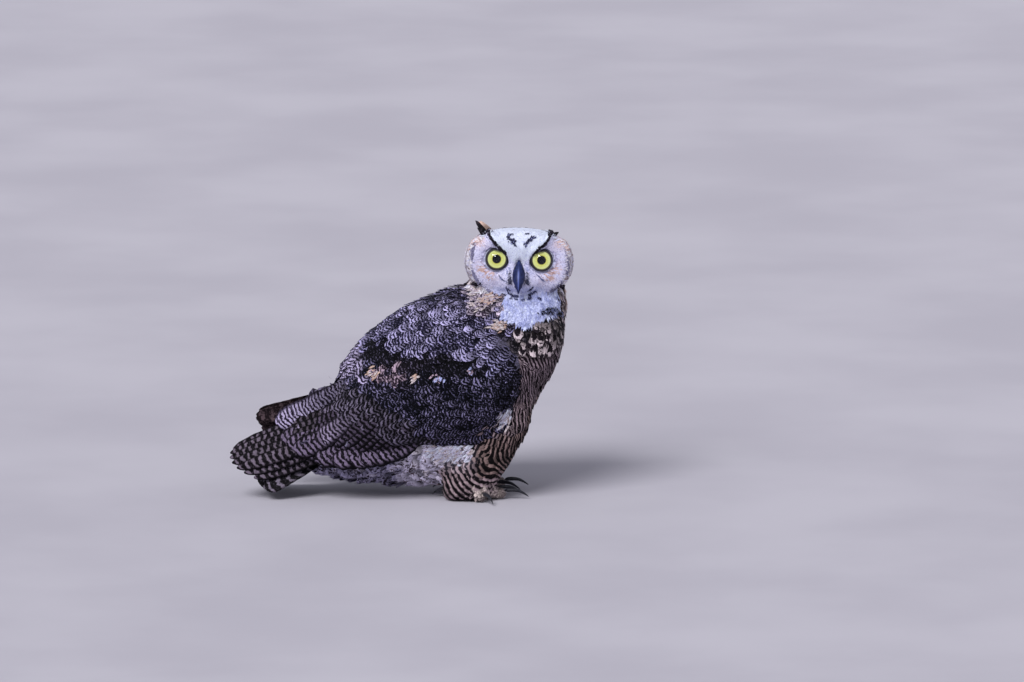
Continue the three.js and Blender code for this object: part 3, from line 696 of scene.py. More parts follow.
def bodyZones(points, part):
    x, y, z = points.T

    def patchAt(atX, atZ, wide, tall):
        return bell(np.hypot((x - atX) / wide, (z - atZ) / tall), 1)

    clump = ramp(-0.12, 0.3, clouds(points, 21))
    wing = (part == "wing") * 1.0
    toe = np.where(part == "leg", ramp(22, 12, z) * ramp(76, 88, x), np.isin(part, ("foot", "toe")) * 1.0)
    leg = (part == "leg") * (1.0 - toe)
    neck = (part == "neck") * 1.0
    trunk = (part == "trunk") * 1.0
    front = np.maximum(ramp(112, 140, x + 0.35 * (200 - z)), ramp(38, 56, x) * ramp(176, 150, z))
    upper = ramp(0, 20, z - np.minimum(96 + 0.72 * (x + 60), 136))   # above the line of the folded wing
    rightward = ramp(24, -20, y)
    bibEdge = np.interp(x, [110, 118, 130, 147, 156, 168, 181, 190],
                        [232, 230, 228, 220, 224, 229, 234, 243])
    bib = (neck + trunk) * ramp(120, 123, x) * ramp(186, 181, x) * ramp(-2, 2, z - bibEdge) * rightward
    tract = alongFront(points)[2]
    shoulder = bell((x - 94) / 24, 1) * ramp(214, 230, z) * ramp(124, 114, x)
    band = z + 0.1 * (x - 20)                                # height up the side of the wing
    scapular = wing * ramp(160, 166, band) * ramp(190, 180, band)
    wingTop = wing * ramp(180, 190, band)
    wrist = wing * ramp(92, 116, x) * ramp(150, 168, z)
    rear = (wing + trunk * upper) * ramp(-44, -58, x) * ramp(146, 156, z) * ramp(-110, -90, x)
    # painted shade: the dark notch between the front of the folded wing and the breast, joined by the real
    # dark marks under the bib
    notch = patchAt(126, 196, 14, 11) * ramp(0, -20, y)
    notch = np.maximum(notch, darkSpots(points))
    buff = 1.8 * patchAt(99, 246, 12, 8) + patchAt(124, 217, 8, 4) + 2.6 * patchAt(192, 246, 9, 12)
    saddle = trunk * upper * (1 - ramp(-60, -100, x)) * (1 - front) + wingTop
    lowWing = wing * (1 - ramp(160, 166, band))
    thigh = leg + trunk * front * ramp(140, 120, z)
    rosy = wing * patchAt(-5, 160, 17, 9)
    fluff = patchAt(62, 58, 15, 13) + patchAt(122, 106, 7, 10)
    names = ("mantle mantleRear rump scapular lesser wrist nape buff bib blotch breast flank belly fluff "
             "underTail dark toe mantleDark flankDark lesserDark nape rosy").split()
    weights = np.stack([
        saddle * (1 - clump),
        2.0 * rear,
        trunk * upper * ramp(-60, -100, x),
        scapular,
        lowWing * (1 - clump),
        1.6 * wrist,
        neck * (1 - 0.6 * front),
        1.5 * ((neck + trunk) * buff),
        2.6 * bib,
        1.4 * (trunk + neck) * front * ramp(172, 190, z),
        trunk * front * ramp(190, 165, z) * ramp(110, 130, z),
        thigh * ramp(14, 34, tract),
        trunk * (1 - upper) * (1 - front),
        2.2 * fluff * (1 - wing),
        # under the tail, darkened by painted shade
        1.6 * trunk * (1 - upper) * ramp(10, -20, x),
        # painted shade in the notch, and the dark marks under the bib
        3.0 * notch,
        toe,
        saddle * clump,
        thigh * ramp(34, 14, tract),
        lowWing * clump,
        1.5 * (trunk + neck) * shoulder,
        2.4 * rosy,
    ], 1)
    return names, weights + 1e-4


def headZones(points, part=None):
    _, side, ahead, up, brow, ring, eye = faceMarks(points)
    face = ramp(-9, 3, ahead + 9 * clouds(points, 7) + 4 * clouds(points, 2.5))
    forehead = face * ramp(-1, 3, brow) * ramp(-2, 2, up)
    browDark = face * bell(brow, 0.8 + 0.03 * side) * ramp(12.5, 15.5, side) * ramp(-2, 4, up)
    # beside the lower bill: dark feathers at the gape, darkened further with painted shade from the bill
    gapeMarkAndShade = 0.6 * face * bell(np.hypot((side - 8.5) / 2.6, (up + 23) / 3.2), 1)
    within = ramp(1.02, 0.98, ring)
    smudge = face * bell(np.hypot((side - 12.5) / 6, (up + 5) / 9), 1)
    turn = np.arctan2(up - faceDims["eyeUp"], side - faceDims["eyeAcross"])
    rufous = face * bell(eye - 22, 6.5) * bell(turn + 0.85, 0.6) * ramp(14, 17, eye)
    rufous = rufous * ramp(-0.35, 0.25, clouds(points, 3.2))
    rim = face * bell(ring - 1.0, 0.022) * ramp(30, 40, side)
    outer = face * ramp(1.0, 1.05, ring) * ramp(1.36, 1.26, ring) * ramp(34, 20, up)
    chin = face * ramp(-26, -33, up) * ramp(34, 28, side)
    pink = face * bell(np.hypot((side - 50) / 9, (up - 26) / 8), 1) * ramp(-2, -5, brow)
    names = "crown nape forehead dark disc smudge rim rimLight rufous pink bib".split()
    weights = np.stack([
        (1 - face) * ramp(-6, 14, up) + 0.1 * (1 - face),
        (1 - face) * ramp(10, -20, up),
        1.6 * forehead,
        3.4 * np.maximum(browDark, gapeMarkAndShade),
        face * within * 0.9,
        2.2 * smudge * ramp(-0.1, 0.25, clouds(points, 3.4, 5)),
        0.9 * rim,
        1.4 * outer,
        2.2 * rufous,
        1.6 * pink,
        1.5 * chin,
    ], 1)
    return names, weights + 1e-4


# Materials

def fill(tree, socket, value):
    if isinstance(value, bpy.types.NodeSocket):
        tree.links.new(value, socket)
    else:
        socket.default_value = value


def node(tree, kind, **inputs):
    # inputs by name, or by place as i0, i1 and so on
    made = tree.nodes.new(kind)
    for key, value in inputs.items():
        fill(tree, made.inputs[int(key[1:]) if key[1:].isdigit() else key], value)
    return made


def maths(tree, how, a, b=0.0, clamp=False):
    made = node(tree, "ShaderNodeMath", i0=a, i1=b)
    made.operation = how
    made.use_clamp = clamp
    return made.outputs[0]


def plus(tree, a, b):
    return maths(tree, "ADD", a, b)


def times(tree, a, b, clamp=False):
    return maths(tree, "MULTIPLY", a, b, clamp)


def minus(tree, a, b):
    return maths(tree, "SUBTRACT", a, b)


def joined(tree, x, y, z):
    return node(tree, "ShaderNodeCombineXYZ", i0=x, i1=y, i2=z).outputs[0]


def objectPlace(tree):
    return node(tree, "ShaderNodeTexCoord").outputs["Object"]


def noiseOf(tree, vector, scale, detail, **more):
    return node(tree, "ShaderNodeTexNoise", Vector=vector, Scale=scale, Detail=detail, **more).outputs[0]


def bumped(tree, shader, height, strength, distance):
    bump = node(tree, "ShaderNodeBump", Strength=strength, Distance=distance, Height=height)
    tree.links.new(bump.outputs[0], shader.inputs["Normal"])


def between(tree, value, low, high, toLow=0.0, toHigh=1.0):
    made = node(tree, "ShaderNodeMapRange", i0=value, i1=low, i2=high, i3=toLow, i4=toHigh)
    made.interpolation_type = "SMOOTHSTEP"
    return made.outputs[0]


def blendColour(tree, share, a, b, how="MIX"):
    made = tree.nodes.new("ShaderNodeMix")
    made.data_type = "RGBA"
    made.blend_type = how
    for place, value in ((0, share), (6, a), (7, b)):
        fill(tree, made.inputs[place], value)
    return made.outputs[2]


def attribute(tree, name):
    made = tree.nodes.new("ShaderNodeAttribute")
    made.attribute_name = name
    return made


def parted(tree, vector):
    return node(tree, "ShaderNodeSeparateXYZ", i0=vector).outputs


def newMaterial(name):
    material = bpy.data.materials.new(name)
    material.use_nodes = True
    tree = material.node_tree
    return material, tree, tree.nodes["Principled BSDF"]


plumageFinish = {"roughness": 0.72, "sheen": 0.02, "sheenRoughness": 0.5, "barb": 0.55, "shaft": 0.35,
                 "shine": 0.06}


def plumage(name, gloss=0.0, rootShade=0.3, bow=barBow, slant=0.0):
    material, tree, shader = newMaterial(name)
    acrossMm, alongMm, seed = parted(tree, attribute(tree, "vane").outputs["Vector"])
    acrossShare, alongShare, chance = parted(tree, attribute(tree, "spread").outputs["Vector"])
    ground, mark = (attribute(tree, key).outputs["Color"] for key in ("ground", "mark"))
    period, darkShare, strength = parted(tree, attribute(tree, "bars").outputs["Vector"])
    fine, tipDark, paleEdgeAndEdgeShade = parted(tree, attribute(tree, "flecks").outputs["Vector"])
    side = maths(tree, "ABSOLUTE", acrossMm)
    offset = times(tree, seed, 271.0)
    wide = joined(tree, times(tree, acrossMm, 0.22), times(tree, alongMm, 0.14), offset)
    warp = noiseOf(tree, wide, 1.0, 2.0)
    curve = times(tree, times(tree, acrossShare, acrossShare), -bow)
    curve = plus(tree, curve, times(tree, side, -slant))
    place = maths(tree, "DIVIDE", plus(tree, alongMm, curve), period)
    warping = plus(tree, between(tree, strength, 0.6, 0.9, 1.4, 0.9),
                   between(tree, strength, 0.95, 1.0, 0.0, -0.55))
    place = plus(tree, place, times(tree, warp, warping))
    turns = times(tree, plus(tree, place, chance), 2 * math.pi)
    wave = between(tree, maths(tree, "SINE", turns), -1, 1)
    blot = joined(tree, times(tree, acrossMm, 0.24), times(tree, alongMm, 0.28), offset)
    blot = noiseOf(tree, blot, 1.0, 2.0, Distortion=1.2)
    blot = between(tree, blot, 0.34, 0.66)
    pattern = plus(tree, blot, times(tree, minus(tree, wave, blot), strength))
    edge = minus(tree, 1.0, darkShare)
    dark = between(tree, pattern, minus(tree, edge, 0.13), plus(tree, edge, 0.13))
    grain = joined(tree, times(tree, acrossMm, 0.36), times(tree, alongMm, 0.95), offset)
    speck = noiseOf(tree, grain, 1.0, 2.0, Distortion=0.8)
    darkSpeck = times(tree, between(tree, speck, 0.48, 0.56), fine)
    paleSpeck = times(tree, between(tree, speck, 0.43, 0.36), times(tree, fine, 0.55))
    dark = plus(tree, dark, times(tree, darkSpeck, minus(tree, 1.0, dark)))
    dark = times(tree, dark, minus(tree, 1.0, paleSpeck))
    tip = times(tree, between(tree, alongShare, 0.7, 0.92), tipDark)
    dark = maths(tree, "MAXIMUM", dark, tip)
    dark = times(tree, dark, plus(tree, 1.0, maths(tree, "MINIMUM", tip, 0.0)))
    shaft = times(tree, between(tree, side, 0.55, 0.2), plumageFinish["shaft"])
    dark = maths(tree, "MAXIMUM", dark, shaft)
    # pale edges; where the value is below 0, dark edges of painted shade along the gap under the overlapping
    # feather
    pale = times(tree, between(tree, maths(tree, "ABSOLUTE", acrossShare), 0.5, 0.9), paleEdgeAndEdgeShade)
    dark = maths(tree, "MAXIMUM", dark, times(tree, pale, -1.0))
    pale = maths(tree, "MAXIMUM", pale, 0.0)
    dark = times(tree, dark, minus(tree, 1.0, pale), clamp=True)
    colour = blendColour(tree, dark, ground, mark)
    # painted shade: each feather darkens toward its root, down to rootShade, for the shadow under the
    # feathers that overlap it
    shade = between(tree, alongShare, 0.45, 0.92, rootShade, 1.0)
    paintedRootShade = node(tree, "ShaderNodeCombineColor", i0=shade, i1=shade, i2=shade).outputs[0]
    colour = blendColour(tree, 1.0, colour, paintedRootShade, "MULTIPLY")
    fill(tree, shader.inputs["Base Color"], colour)
    beat = 2 * math.pi / plumageFinish["barb"]
    barb = maths(tree, "SINE", times(tree, plus(tree, alongMm, times(tree, side, 1.3)), beat))
    bumped(tree, shader, plus(tree, barb, times(tree, speck, 1.5)), 0.35, 0.00012)
    rough = plus(tree, plumageFinish["roughness"] - gloss, times(tree, speck, 0.15))
    fill(tree, shader.inputs["Roughness"], rough)
    fill(tree, shader.inputs["Sheen Weight"], plumageFinish["sheen"])
    fill(tree, shader.inputs["Sheen Roughness"], plumageFinish["sheenRoughness"])
    fill(tree, shader.inputs["Specular IOR Level"], plumageFinish["shine"])
    return material


# shade is painted shade for the dark between the feathers, and headBright lifts the head's down out of most
# of it
undercoatDims = {"headBright": 1.9, "shade": (0.42, 0.4, 0.42, 1), "sheen": 0.15}


def undercoat(name):
    material, tree, shader = newMaterial(name)
    ground, mark = (attribute(tree, key).outputs["Color"] for key in ("ground", "mark"))
    place = objectPlace(tree)
    down = noiseOf(tree, place, 420.0, 4.0, Roughness=0.7, Distortion=0.8)
    colour = blendColour(tree, between(tree, down, 0.38, 0.66), ground, mark)
    # painted shade between the feathers
    colour = blendColour(tree, 1.0, colour, undercoatDims["shade"], "MULTIPLY")
    fill(tree, shader.inputs["Base Color"], colour)
    bumped(tree, shader, down, 0.6, 0.0006)
    rough = between(tree, down, 0, 1, 0.8, 0.98)
    fill(tree, shader.inputs["Roughness"], rough)
    fill(tree, shader.inputs["Sheen Weight"], undercoatDims["sheen"])
    return material


# the third value, rootShade, is how dark the painted shade at each feather's root is
softPlumage = plumage("soft_plumage")
stiffPlumage = plumage("stiff_plumage", 0.16, 0.4, 0.0, 0.3)
fineDown = plumage("fine_down", 0.0, 0.86, 1.0)
downMaterial = undercoat("undercoat")


def blended(names, weights, key):
    return weights / weights.sum(1, keepdims=True) @ markTable(names, key)


def paintSkin():
    onHead = skinPart == "head"
    body, head = bodyZones(skinPoints, skinPart), headZones(skinPoints[onHead])
    for key in ("ground", "mark"):
        values = blended(*body, key)
        # headBright undoes most of the painted shade on the head
        values[onHead] = blended(*head, key) * undercoatDims["headBright"]
        layer = skin.data.attributes.new(key, "FLOAT_COLOR", "POINT")
        rgba = np.concatenate([values, np.ones((len(values), 1))], 1).astype(np.float32)
        layer.data.foreach_set("color", rgba.ravel())
    skin.data.shade_smooth()
    finishPiece(skin, "back_plumage", downMaterial, *flesh)


paintSkin()


# Where the eyes look, and the shape of the lid round each

eyeParts = {
    "globe": 15.3, "iris": 11.3, "pupil": 5.0, "irisSunk": 0.5, "pupilSunk": 1.1, "clear": 15.65,
    "clearHalf": 52, "turn": 0.07, "lidInner": 11.3, "lidOuter": 13.7, "lidRise": 0.75, "lidTop": 9.9,
    "lidSlope": 0.2, "corner": 3.0, "cover": 3.0,
    # how far out the lid follows the eye, and how it falls beyond
    "lidFlat": 14.0, "lidFall": 0.95, "steps": 72, "lidSteps": 96,
    # the rows of the lid: how far across it, and how high as a share of its rise
    "lidRows": [(0, -1.3), (0, 0.25), (0.12, 0.75), (0.3, 1.0), (0.55, 0.75), (0.8, 0.3), (1.0, 0),
                (1.35, 0), (1.7, 0), (2.1, -1)],
}


def eyeFrame(word):
    centre = middleOf(f"eye_{word}")
    sign = -1 if word == "right" else 1
    axis = unit(headAxes[1] + headAxes[2] * eyeParts["turn"] + headAxes[0] * sign * 0.03)
    inner = unit(-sign * headAxes[0] + axis * dot(sign * headAxes[0], axis))
    up = np.cross(inner, axis) * (1 if sign > 0 else -1)
    up = up * np.sign(up[2])
    return centre, np.array([inner, up, axis]), sign


def lidEdges(angle):
    # the inner and outer edge of the dark lid, as reaches from the middle of the eye
    d = eyeParts
    inner = np.full(len(angle), d["lidInner"])
    top = d["lidTop"] - d["lidSlope"] * np.cos(angle) * d["lidInner"]
    inner = np.where(np.sin(angle) * inner > top, top / np.maximum(np.sin(angle), 0.05), inner)
    corner = d["corner"] * bell(np.angle(np.exp(1j * (angle - 0.3))), 0.6)
    return inner, d["lidOuter"] + corner * 0.6 - 0.6 * (d["lidInner"] - inner)


def lidHeight(reach):
    flat = eyeParts["lidFlat"]
    globe = np.sqrt(np.maximum(eyeParts["clear"] ** 2 - np.minimum(reach, flat) ** 2, 1))
    return globe - eyeParts["lidFall"] * np.maximum(reach - flat, 0)


# The coat: what grows on each patch of the skin

patchMiddle = skinPoints[skinTris].mean(1)
patchPart = skinPart[skinTris[:, 0]]
patchX, patchY, patchZ = patchMiddle.T
_, patchSide, patchAhead, patchUp, _, _, patchEye = faceMarks(patchMiddle)
onHead = patchPart == "head"
onFace = onHead & (patchAhead + 9 * clouds(patchMiddle, 11) + 5 * clouds(patchMiddle, 4) > -3)


def pick(name):
    return patchPart == name


def grow(name, slot, tract, seed, *sets):
    rng = np.random.default_rng(seed)
    every = []
    for entry in sets:
        if isinstance(entry, dict):
            every.append({**entry, "paint": paintKinds(entry["kinds"], rng)})
            continue
        chosen, spacing, size, zones, *rest = entry
        manner = rest[0] if rest else {}
        roots = sow(chosen * 1.0, np.zeros(len(chosen)) + spacing, rng)
        roots["way"] = lieOf(roots["point"], roots["part"])
        roots["length"], roots["width"] = size(roots["point"])
        roots["above"] = np.zeros(len(roots["point"]))
        shown = unit(roots["way"] - dot(roots["way"], roots["normal"]) * roots["normal"])
        shown = shown * roots["length"][:, None]
        if "offWing" in manner:
            tip = roots["point"] + shown * 0.8
            under = [skinTris[skinTree.find_nearest(p)[2], 0] for p in tip.tolist()]
            clear = skinPart[under] != "wing"
            roots = {key: values[clear] for key, values in roots.items()}
            shown = shown[clear]
        looks = {key: value for key, value in manner.items() if key != "offWing"}
        roots["paint"] = paint(*zones(roots["point"] + shown * 0.75, roots["part"]), rng, **looks)
        every.append(roots)
    keys = ("point", "normal", "uv", "part", "way", "length", "width", "above")
    roots = {key: np.concatenate([r[key] for r in every]) for key in keys}
    roots["paint"] = {key: np.concatenate([r["paint"][key] for r in every]) for key in markKeys}
    return finishPiece(vanes(name, roots, tract, rng), slot, fineDown if "fine" in tract else softPlumage)


def paintKinds(kinds, rng, tint=0.06):
    out = {key: markTable(kinds, key) for key in markKeys}
    out["ground"] = out["ground"] * (1 + rng.normal(0, tint, (len(kinds), 1)))
    return out


def placed(points, ways, lengths, widths, above, kinds, held=None):
    # roots given one by one, each at the nearest place on the skin
    points = np.asarray(points, float)
    spots, normals, uvs, parts = [], [], [], []
    for p in points.tolist():
        spot, normal, face, _ = skinTree.find_nearest(p)
        spots.append(spot)
        normals.append(normal)
        uvs.append(skinMap[face].mean(0))
        parts.append(skinPart[skinTris[face, 0]])
    if held is not None:
        spots, normals = points, held
    ones = np.ones(len(points))
    return {"point": np.array(spots), "normal": np.array(normals), "uv": np.array(uvs), "kinds": kinds,
            "part": np.array(parts), "way": unit(np.asarray(ways, float)), "length": ones * lengths,
            "width": ones * widths, "above": ones * above}


def plain(points, length, width):
    ones = np.ones(len(points))
    return ones * length, ones * width


coatDims = {
    "face": {"rows": (0, 0.35, 0.7), "columns": 2, "rise": 0.6, "low": 0.15, "lengthVaries": 0.15,
             "wide": 0.4, "fray": 0.4, "cup": 0.1, "roll": 0.05, "fine": True},
    "head": {"rows": (0, 0.3, 0.6, 0.85), "columns": 4, "rise": 1.3, "low": 0.3, "yaw": 0.12, "wide": 0.5},
    "neck": {"rows": (0, 0.25, 0.5, 0.72, 0.9), "columns": 6, "rise": 2.6, "yaw": 0.12, "wide": 0.5},
    "bib": {"rows": (0, 0.3, 0.55, 0.8), "columns": 4, "rise": 2.2, "low": 0.5, "lengthVaries": 0.2,
            "wide": 0.35, "fray": 0.5, "curve": 1.0, "roll": 0.15, "cup": 0.1, "fine": True},
    "breast": {"rows": (0, 0.2, 0.4, 0.6, 0.78, 0.92), "columns": 6, "rise": 3.0, "low": 0.5, "cup": 0.25},
    "belly": {"rows": (0, 0.25, 0.5, 0.7, 0.85), "columns": 10, "rise": 5.0, "low": 0.5, "yaw": 0.35,
              "wide": 0.6, "ragged": 0.06, "fray": 0.35, "roll": 0.4, "drop": 0.5, "cup": 0.35},
    "back": {"rows": (0, 0.2, 0.4, 0.6, 0.76, 0.88, 0.95), "columns": 10, "rise": 3.2, "low": 0.5,
             "yaw": 0.13, "ragged": 0.08, "fray": 0.5, "drop": 0.7},
    "wing": {"rows": (0, 0.25, 0.5, 0.72, 0.88, 0.95), "columns": 8, "rise": 2.6, "low": 0.5, "drop": 0.5,
             "roll": 0.16},
    "toe": {"rows": (0, 0.35, 0.7), "columns": 2, "rise": 0.7, "low": 0.2, "yaw": 0.2, "wide": 0.4},
}


def faceSpot(across, up):
    start = fromHead(np.array([[across, 90, up]]))[0]
    hit = skinTree.ray_cast(Vector(start), Vector(-headAxes[1]), 90)
    if hit[0] is None:
        return fromHead(np.array([[across, 40, up]]))[0], headAxes[1]
    return np.array(hit[0]), np.array(hit[1])


def facePlaces(sign, side, up):
    return np.array([faceSpot(sign * a, b)[0] for a, b in zip(side, up)])


browDims = {"count": 240, "start": 14.5, "reach": 34, "apart": (2.8, 0.035), "uneven": (0.2, 0.028),
            "length": (6.5, 5), "width": 1.7}


def browSet(sign):
    # the long dark feathers of the brow, from the bill's root up to the ear tuft
    rng = np.random.default_rng(71 + sign)
    d = browDims
    count = d["count"]
    side = d["start"] + d["reach"] * rng.random(count)
    lane = rng.choice([-1, 0, 0, 1], count)
    apart, uneven = (d[key][0] + d[key][1] * side for key in ("apart", "uneven"))
    off = lane * apart + rng.normal(0, uneven)
    up = faceDims["browStart"] + faceDims["browSlope"] * side + off
    spots = facePlaces(sign, side, up)
    way = unit(np.array([sign * 1.0, 0.25, 0.97])) @ headAxes
    ways = way + rng.normal(0, 0.05, (count, 3))
    length = d["length"][0] + d["length"][1] * ramp(20, 46, side)
    kinds = [("disc", "brow", "forehead")[k + 1] for k in lane]
    return placed(spots, ways, length, d["width"], 0.8 + 0.8 * ramp(30, 46, side) + 0.4 * (lane == 0), kinds)


rimDims = {"count": 420, "turn": (-42, 50), "ring": (1.06, 0.15), "highest": 46, "length": 11, "width": 2.0}


def onRing(turn, ring, highest=np.inf):
    # across and up of places on the ring round the disc
    tall = np.minimum(np.where(turn > 0, faceDims["ringHigh"], faceDims["ringDeep"]), highest)
    side = faceDims["ringAcross"] + faceDims["ringWide"] * ring * np.cos(turn)
    return side, faceDims["ringUp"] + tall * ring * np.sin(turn)


def rimSet(sign):
    # the loose outer rim of the disc, which stands proud of the sides of the head
    rng = np.random.default_rng(81 + sign)
    d = rimDims
    count = d["count"]
    turn = np.radians(rng.uniform(*d["turn"], count))
    ring = d["ring"][0] + d["ring"][1] * rng.random(count)
    side, up = onRing(turn, ring, d["highest"])
    spots = facePlaces(sign, side, up)
    outward = np.stack([sign * np.cos(turn), np.full(count, 0.1), np.sin(turn)], 1) @ headAxes
    kinds = rng.choice(["rimLight", "disc", "rimSpeck"], count, p=[0.6, 0.2, 0.2])
    kinds = np.where(rng.random(count) < 0.4 * ramp(8, 20, up), "pink", kinds)
    kinds = np.where(rng.random(count) < 0.25 * ramp(-0.1, -0.5, turn), "rimSpeck", kinds)
    ways = outward + rng.normal(0, 0.12, (count, 3))
    return placed(spots, ways, d["length"], d["width"], 1.4 - 0.8 * ramp(20, 40, up), list(kinds))


lineDims = {
    "count": 170, "turn": (-62, 26), "ring": 0.992, "length": 4.0, "width": 1.2,
    "spotCount": 22, "spot": ((50.5, 2.1), (-27.5, 1.6)),       # across and up, and how far each varies
}


def rimLine(sign):
    # the thin broken line just inside the rim, and the dark spot at the corner of the jaw
    rng = np.random.default_rng(86 + sign)
    d = lineDims
    count, dots = d["count"], d["spotCount"]
    turn = np.radians(rng.uniform(*d["turn"], count))
    kept = np.sin(turn * 8 + sign) + rng.normal(0, 0.5, count) > -0.1
    turn = turn[kept]
    ring = d["ring"] + 0.028 * sign + 0.018 * rng.normal(0, 1, len(turn))
    side, up = (np.append(value, middle + rng.normal(0, varies, dots))
                for value, (middle, varies) in zip(onRing(turn, ring), d["spot"]))
    along = np.stack([sign * (up + 2), side * 0, 14 - side], 1) @ headAxes
    outward = np.stack([sign * (side - 14), side * 0, up + 2], 1) @ headAxes
    outward[:len(turn)] = along[:len(turn)] + 0.4 * outward[:len(turn)]
    spot = np.arange(len(side)) >= len(turn)
    kinds = ["rim"] * len(turn) + ["brow"] * dots
    spots = facePlaces(sign, side, up)
    return placed(spots, outward, d["length"], d["width"] + 0.6 * spot, 1.1 + 2.0 * spot, kinds)


# Dark strokes on the forehead, chin and cheeks, each from one end to the other (across and up in
# the head's frame) and how thick it is
faceStrokes = {
    "forehead": [((-16.5, 31.3), (-12, 27.1), 2.0), ((-15, 32.6), (-9.4, 33.1), 1.3),
                 ((-12.4, 27.6), (-7.5, 24.5), 3.2), ((-7.5, 24.5), (-5.3, 20.8), 1.3),
                 ((5.3, 33.7), (9.5, 34.2), 1.1), ((10.5, 26), (15, 29.8), 2.8),
                 ((15, 29.8), (18, 30.1), 1.3), ((4.5, 21.9), (9.8, 24.8), 1.6),
                 ((8.3, 23.8), (7.9, 20.8), 1.1)],
    "chin": [((-15.4, -27.3), (-13.1, -32.5), 0.9), ((-12.8, -29.5), (-9.8, -32.5), 0.5),
             ((-13.5, -34.8), (-7.5, -38.7), 1.5), ((-7.5, -38.7), (-0.5, -39.2), 2.0),
             ((-18.8, -37), (-15, -38.5), 0.9), ((-6, -43.6), (-1.5, -43.8), 0.9),
             ((8.6, -39.3), (19.9, -32.9), 1.2), ((10.9, -33.6), (15.8, -28.8), 1.3),
             ((12, -45.5), (13.5, -40.8), 1.8), ((22.6, -39.5), (25.2, -43.3), 1.9),
             ((2, -44.5), (6, -44), 0.5), ((-10.5, -42), (-8, -42.6), 0.5)],
    "cheeks": [((20.3, -12.3), (29, -19.3), 0.6), ((-24, -14), (-20, -19), 0.4),
               ((-19.5, -19.5), (-15.5, -21), 0.5)],
}


def strokeSet(name, seed):
    rng = np.random.default_rng(seed)
    spots, ways, widths, above = [], [], [], []
    for a, b, thick in faceStrokes[name]:
        a, b = np.array(a, float), np.array(b, float)
        span = np.linalg.norm(b - a)
        for _ in range(int(span * (1.2 + 1.7 * thick))):
            across, up = mix(a, b, rng.random()) + rng.normal(0, 0.38 * thick, 2)
            spots.append(faceSpot(across, up)[0])
            way = np.array([b[0] - a[0], 0, b[1] - a[1]]) / span
            turned = (rng.normal(0, 0.3), 0, (0.4 if up > 0 else -0.4) + rng.normal(0, 0.3))
            ways.append((way + np.array(turned)) @ headAxes)
            widths.append(0.6 + 0.35 * thick)
            above.append(1.0 + 2.4 * ramp(-37, -42, up))
    kinds = rng.choice(["ink", "inkPale"], len(spots), p=[0.75, 0.25] if name != "cheeks" else [0.3, 0.7])
    return placed(spots, ways, 2.7, np.array(widths), np.array(above), list(kinds))


lashDims = {"count": 320, "reach": 2.0, "length": 4.4, "width": 1.5, "above": 0.35}


def eyeRing(sign):
    # short feathers that spread from the edge of the lid
    rng = np.random.default_rng(91 + sign)
    centre, axes, _ = eyeFrame("right" if sign < 0 else "left")
    d = lashDims
    count = d["count"]
    turn = np.linspace(0, 2 * math.pi, count, endpoint=False)
    flat = np.stack([np.cos(turn), np.sin(turn)], 1)
    reach = (lidEdges(turn)[1] + 0.3 + d["reach"] * rng.random(count))[:, None]
    local = np.concatenate([flat * reach, lidHeight(reach)], 1)
    outward = np.concatenate([flat, np.full((count, 1), -0.35)], 1) @ axes
    _, _, _, up, brow, _, _ = faceMarks(centre + local @ axes)
    kinds = ["dark" if -1.5 < b < 3 and u > 4 else "forehead" if b > 0 else "disc" for b, u in zip(brow, up)]
    spots = centre + local @ axes
    return placed(spots, outward, d["length"], d["width"], d["above"], kinds, unit(local) @ axes)


faceManner = {"soft": 0.6, "ragged": 0.1, "tint": 0.05}
clearOfBill = ~((patchSide < 6.5) & (patchUp < 4) & (patchUp > -22) & (patchAhead > 36))
grow("coat_face", "face_plumage", coatDims["face"], 11,
     (onFace & (patchEye > 12.6) & clearOfBill, 1.05 + 0.25 * ramp(18, 34, patchEye),
      lambda p: plain(p, 5.6, 1.5), headZones, faceManner), browSet(1), browSet(-1), rimSet(1), rimSet(-1),
     eyeRing(1), eyeRing(-1), rimLine(1), rimLine(-1), strokeSet("forehead", 95), strokeSet("chin", 97),
     strokeSet("cheeks", 98))
grow("coat_head", "face_plumage", coatDims["head"], 12,
     (onHead & ~onFace, 2.6, lambda p: plain(p, 13, 4.6), headZones, {"soft": 0.4}))

zoneNames, zoneShares = bodyZones(patchMiddle, patchPart)
bibPatch = np.argmax(zoneShares, 1) == zoneNames.index("bib")


def onlyBib(points, part):
    # cloudy patches of painted shade (bibShade) over the white bib
    shade = ramp(0.0, 0.3, clouds(points, 8))
    return ["bib", "bibShade"], np.stack([1 - shade, shade], 1) + 1e-4


def besideBib(points, part):
    names, weights = bodyZones(points, part)
    weights[:, names.index("bib")] = 1e-4
    return names, weights


grow("coat_neck", "breast_plumage", coatDims["neck"], 13,
     (pick("neck") & ~bibPatch, 4.2, lambda p: plain(p, 22, 7.5), besideBib))
grow("coat_bib", "breast_plumage", coatDims["bib"], 14,
     (bibPatch, 1.15, lambda p: plain(p, 12.5, 2.6), onlyBib))


def breastSize(points):
    x, y, z = points.T
    high = ramp(165, 200, z)
    return 30 - 4 * high, 14 + 3 * ramp(150, 70, z) - 2 * high


def backSize(points):
    x, y, z = points.T
    small = ramp(40, 76, x)
    nape = 1 - 0.4 * ramp(232, 244, z)
    return (31 - 6 * small + 6 * ramp(0, -60, x)) * nape, (17 - 6 * small + 4 * ramp(40, -60, x)) * nape


